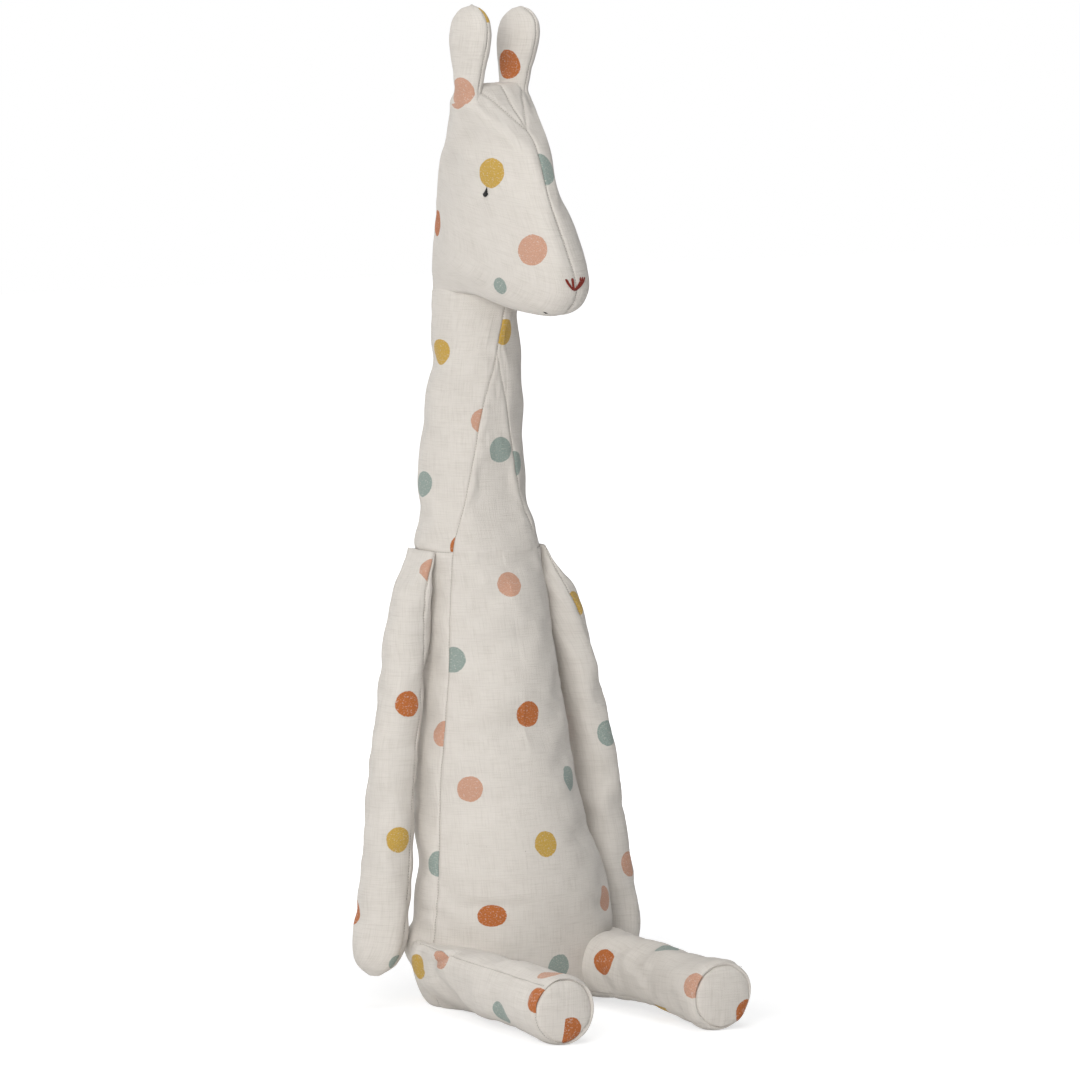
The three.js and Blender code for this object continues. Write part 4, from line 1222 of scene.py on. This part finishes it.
def floor_material():
    """A pale floor that the camera sees as white but for the object's shadow."""
    s = Nodes(bpy.data.materials.new("studio_floor"))
    place = s.add("TexCoord").outputs["Object"]
    colour = s.grey(s.ramp(s.noise(place, (3, 3, 3)), 0.2, 0.8, 0.93, 0.95))
    lit = s.surface(colour, 0.9, {})
    reach = s.add("VectorMath", {0: place}, operation="LENGTH").outputs["Value"]
    level = s.ramp(reach, 0.2, 1.0, 0.66, 1.0)
    white = s.add("Emission", {"Color": (1, 1, 1, 1), "Strength": level}).outputs[0]
    dark = s.add("BsdfDiffuse", {"Color": (0.5, 0.5, 0.5, 1)}).outputs[0]
    both = s.add("AddShader", {0: dark, 1: white}).outputs[0]
    return s.finish(s.add("MixShader", {0: s.seen_directly(), 1: lit, 2: both}).outputs[0])


def make_world():
    """Soft light that is stronger from the left and front, and a white background."""
    s = Nodes(bpy.data.worlds.new("studio"))
    bpy.context.scene.world = s.owner
    inputs = {0: s.add("TexCoord").outputs["Generated"], 1: WORLD_SIDE}
    facing = s.add("VectorMath", inputs, operation="DOT_PRODUCT").outputs["Value"]
    level = s.math("MULTIPLY_ADD", facing, WORLD_SLANT * WORLD_LEVEL, WORLD_LEVEL)
    soft = s.add("Background", {0: (0.97, 0.985, 1, 1), 1: level}).outputs[0]
    white = s.add("Background", {0: (1, 1, 1, 1), 1: 1.0}).outputs[0]
    mixed = s.add("MixShader", {0: s.seen_directly(), 1: soft, 2: white}).outputs[0]
    s.finish(mixed, "OutputWorld")


def make_lamp(name, place, level, width, colour=(1, 1, 1)):
    data = bpy.data.lights.new(name, "AREA")
    data.shape = "DISK"
    data.size = width
    place, aim = Vector(place), Vector(LAMP_AIM)
    data.energy = level * math.pi**2 * (place - aim).length ** 2
    data.color = colour
    obj = bpy.data.objects.new(name, data)
    bpy.context.scene.collection.objects.link(obj)
    obj.location = place
    obj.rotation_euler = (aim - place).to_track_quat("-Z", "Y").to_euler()


def make_stage():
    make_world()
    far = FLOOR_HALF_SIZE
    corners = ((-far, -far), (far, -far), (far, far), (-far, far))
    corners = np.array([(x, y, FLOOR_LEVEL) for x, y in corners])
    floor = new_object("studio_floor", corners, [(0, 1, 2, 3)], floor_material(), False)

    make_lamp("key_lamp", (-2.1, -2.1, 1.3), KEY_LEVEL, 1.6, (1.0, 0.99, 0.975))
    make_lamp("top_lamp", (-0.3, -0.5, 3.0), TOP_LEVEL, 2.2)
    make_lamp("back_lamp", (-1.2, 2.6, 1.4), BACK_LEVEL, 2.0)

    camera = bpy.data.cameras.new("camera")
    camera.lens = camera.sensor_width * PIXELS_PER_RADIAN / FRAME_PIXELS
    camera.clip_end = 50
    obj = bpy.data.objects.new("camera", camera)
    bpy.context.scene.collection.objects.link(obj)
    turn = Matrix((RIGHT, CAM_UP, TOWARD)).transposed().to_4x4()
    obj.matrix_world = Matrix.Translation(Vector(EYE * MM)) @ turn
    bpy.context.scene.camera = obj
    bpy.context.scene.view_settings.view_transform = "Standard"


def side_name(side):
    return "left" if side > 0 else "right"


def nodes_named(*starts, end=""):
    return [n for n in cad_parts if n.startswith(starts) and n.endswith(end)]


def add_body():
    grid, seams, neck = make_body()
    points = grid.reshape(-1, 3)
    distance, _ = seam_field(points, seams[:2])
    columns = np.abs(body_marks()) < GUSSET_COLUMN - 0.01
    inside = np.tile(columns, len(grid)) & (points[:, 2] < GUSSET_TOP)
    gusset = np.where(inside, distance, -distance)

    def fixed(p):
        return smooth(0, NECK_STILL, np.abs(p[:, 2] - NECK_TOP))

    skin = Skin(
        "torso_skin", grid, [*seams, neck], 1, BODY_DOTS, 26, gusset=gusset, fixed=fixed,
        excess=0.03, creases=BODY_CREASES,
    )
    for piece in (skin.piece, skin.stitched("torso_stitching", seams)):
        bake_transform(piece)
    nodes = nodes_named("front_gusset", "neck_panel", "side_panel", "seat_", "torso_")
    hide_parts(*nodes)


def snapped(grid, lines, reach):
    """The grid with the vertices nearest to some lines moved onto them."""
    points = grid.reshape(-1, 3).copy()
    tree = lookup(np.concatenate(lines))
    for i, p in enumerate(points):
        near, _, gap = tree.find(p)
        if gap < reach:
            points[i] = near
    return points.reshape(grid.shape)


def add_head():
    """The head and its face. Returns the head's plain surface in its own frame, and the
    finished one in the toy's."""
    plain, seams = make_head()
    surface = surface_of(plain)
    crown = [[head_top(surface, *p) for p in crown_outline(side)] for side in (-1, 1)]
    crown = [np.array([hit for hit in line if hit is not None]) for line in crown]
    grid = snapped(plain, crown, CROWN_SNAP)
    points = grid.reshape(-1, 3)
    distance, _ = seam_field(points, crown)
    outline = crown_outline(1)
    wide = np.interp(points[:, 1], outline[:, 1], outline[:, 0], left=-1, right=-1)
    inside = (np.abs(points[:, 0]) < wide) & (points[:, 2] > HEAD_HEIGHT * CROWN_LOWEST)
    gusset = np.where(inside, distance, -distance)
    neck = to_world(head_ring(0.0, np.linspace(0, TURN, 600)))
    sewn = [to_world(line) for line in seams + crown]

    def fixed(p):
        return smooth(0, NECK_STILL, seam_field(p, [neck])[0])

    skin = Skin(
        "head_skin", to_world(grid), sewn, 2, HEAD_DOTS, 6, gusset=gusset, fixed=fixed,
        form=to_world(plain), excess=0.012, groove=0.8, pucker=0.7,
    )
    for piece in (skin.piece, skin.stitched("head_stitching", [*sewn, neck])):
        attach(piece, "head")
    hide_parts(*nodes_named("head_", "crown_"))
    add_nose_and_mouth(skin.surface)
    add_eyes(skin.surface)
    return surface, skin.surface


def at_pixel(surface, px, py, lift=0.0):
    ray = pixel_ray(px, py)
    hit, normal, _, _ = surface.ray_cast(Vector(EYE), Vector(ray))
    if hit is None:
        hit, normal, _, _ = surface.find_nearest(Vector(EYE + ray * (DISTANCE - HEAD_REACH)))
    return np.array(hit) + lift * np.array(normal)


def add_nose_and_mouth(surface):
    """Strokes led through pixels, each of two or three threads, and one small stitch below."""
    lines = []
    for wide, offsets, stroke in NOSE:
        marks = np.linspace(0, 1, len(stroke))
        xs, ys = zip(*stroke)
        for offset in offsets:
            line = []
            for t in np.linspace(0, 1, STROKE_POINTS):
                spread = offset * wide * (0.35 + 0.65 * (1 - t))
                px, py = np.interp(t, marks, xs) + spread, np.interp(t, marks, ys)
                line.append(at_pixel(surface, px, py, 0.35))
            lines.append(line)
    nose = merged("nose_threads", [tube(line, NOSE_THREAD) for line in lines], RED)
    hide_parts("nose_stitches")

    line = [at_pixel(surface, px, py, 0.3) for px, py in MOUTH]
    mouth = merged("mouth_thread", [tube(line, MOUTH_THREAD)], DARK)
    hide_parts("mouth_stitch")
    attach(nose, "head")
    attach(mouth, "head")


def add_eyes(surface):
    """Drops of upright threads: one where the photograph shows it, and its mirror image."""
    neck = np.array([0, SET_BACK, NECK_TOP])
    local = turned(at_pixel(surface, *EYE_PIXEL) - neck, -HEAD_TURN)
    for side in (-1, 1):
        inward = turned(np.array([-side, 0.0, 0.0]), HEAD_TURN)
        lines = []
        for column in EYE_COLUMNS:
            bottom = -EYE_DROP * math.sqrt(1 - column**2) * 0.85
            top = EYE_RISE * (1 - abs(column) ** 0.9 * 1.15)
            line = []
            for t in np.linspace(0, 1, STROKE_POINTS):
                level = bottom + (top - bottom) * t
                width = EYE_HALF_WIDTH * column * (1 - EYE_TAPER * smooth(0, 1, t))
                start = [side * 200, local[1] + (width - EYE_LEAN * level), local[2] + level]
                start = to_world(np.array(start))
                hit, normal, _, _ = surface.ray_cast(Vector(start), Vector(inward))
                dome = 0.35 + 0.55 * (1 - column**2) * math.sin(math.pi * t)
                line.append(np.array(hit) + dome * np.array(normal))
            lines.append(line)
        name = side_name(side)
        eye = merged("eye_threads_" + name, [tube(line, EYE_THREAD) for line in lines], DARK)
        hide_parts("eye_" + name)
        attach(eye, "head")


def add_ear(side):
    grid, seams = make_ear(side)
    world = laid_on(to_world(grid), side, HEAD_SURFACE)
    name, bottom = side_name(side), world[0, 0, 2]

    def fixed(p):
        return smooth(EAR_STILL, EAR_FREE, p[:, 2] - bottom)

    seams = [to_world(seam) for seam in seams]
    skin = Skin(
        "ear_skin_" + name, world, seams, 5 + side, EAR_DOTS[side], 2, swell=0.4,
        excess=0.015, fixed=fixed,
    )
    base = to_world(np.array([side * EAR_SPREAD[side], -EAR_FORWARD, EAR_TOP - EAR_BEND_DEPTH]))
    shown = [seam[seam[:, 2] > base[2] + EAR_SEAM_START] for seam in seams]
    for piece in (skin.piece, skin.stitched("ear_stitching_" + name, shown)):
        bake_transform(piece)
    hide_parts(*nodes_named("ear_", end=name))


def add_arm(side):
    grid, seams = make_arm(side)
    name = side_name(side)
    skin = Skin(
        "arm_skin_" + name, grid, seams, 9 + side, ARM_DOTS[side], 5, pucker=1.2, swell=0.7,
        excess=0.04, creases=ARM_CREASES[side],
    )
    for piece in (skin.piece, skin.stitched("arm_stitching_" + name, seams)):
        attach(piece, "arm_" + name)
    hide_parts(*nodes_named("arm_", end=name))


def add_leg(side):
    grid, seams = make_leg(side)
    name = side_name(side)
    skin = Skin(
        "leg_skin_" + name, grid, seams, 13 + side, LEG_DOTS[side], 3, swell=0.8,
        excess=0.04, creases=LEG_CREASES[side], groove=0.3,
    )
    stitches = skin.stitched("leg_stitching_" + name, seams[:1])
    for piece in (skin.piece, stitches):
        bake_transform(piece)
    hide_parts(*nodes_named("leg_", end=name))

    patch = make_sole(side)
    rim = np.concatenate([patch[SOLE_RIM], patch[SOLE_RIM][:1]])
    sole = Skin(
        "sole_skin_" + name, patch, [rim], 21 + side, SOLE_DOTS[side], 0,
        groove=0.8, swell=0.4, flat=True,
    )
    for piece in (sole.piece, sole.stitched("sole_stitching_" + name, [rim])):
        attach(piece, "leg_" + name)
    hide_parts("sole_" + name)


make_stage()
LINEN = linen_material()
THREAD = thread_material("sewing_thread", (0.33, 0.3, 0.265))
DARK = thread_material("black_embroidery", (0.006, 0.005, 0.005), 0.45)
RED = thread_material("red_embroidery", (0.165, 0.010, 0.002), 0.5)
add_body()
PLAIN_HEAD, HEAD_SURFACE = add_head()
EAR_TOP = head_top(PLAIN_HEAD, EAR_SPREAD[-1], -EAR_FORWARD).z
for SIDE in (-1, 1):
    add_ear(SIDE)
    add_arm(SIDE)
    add_leg(SIDE)
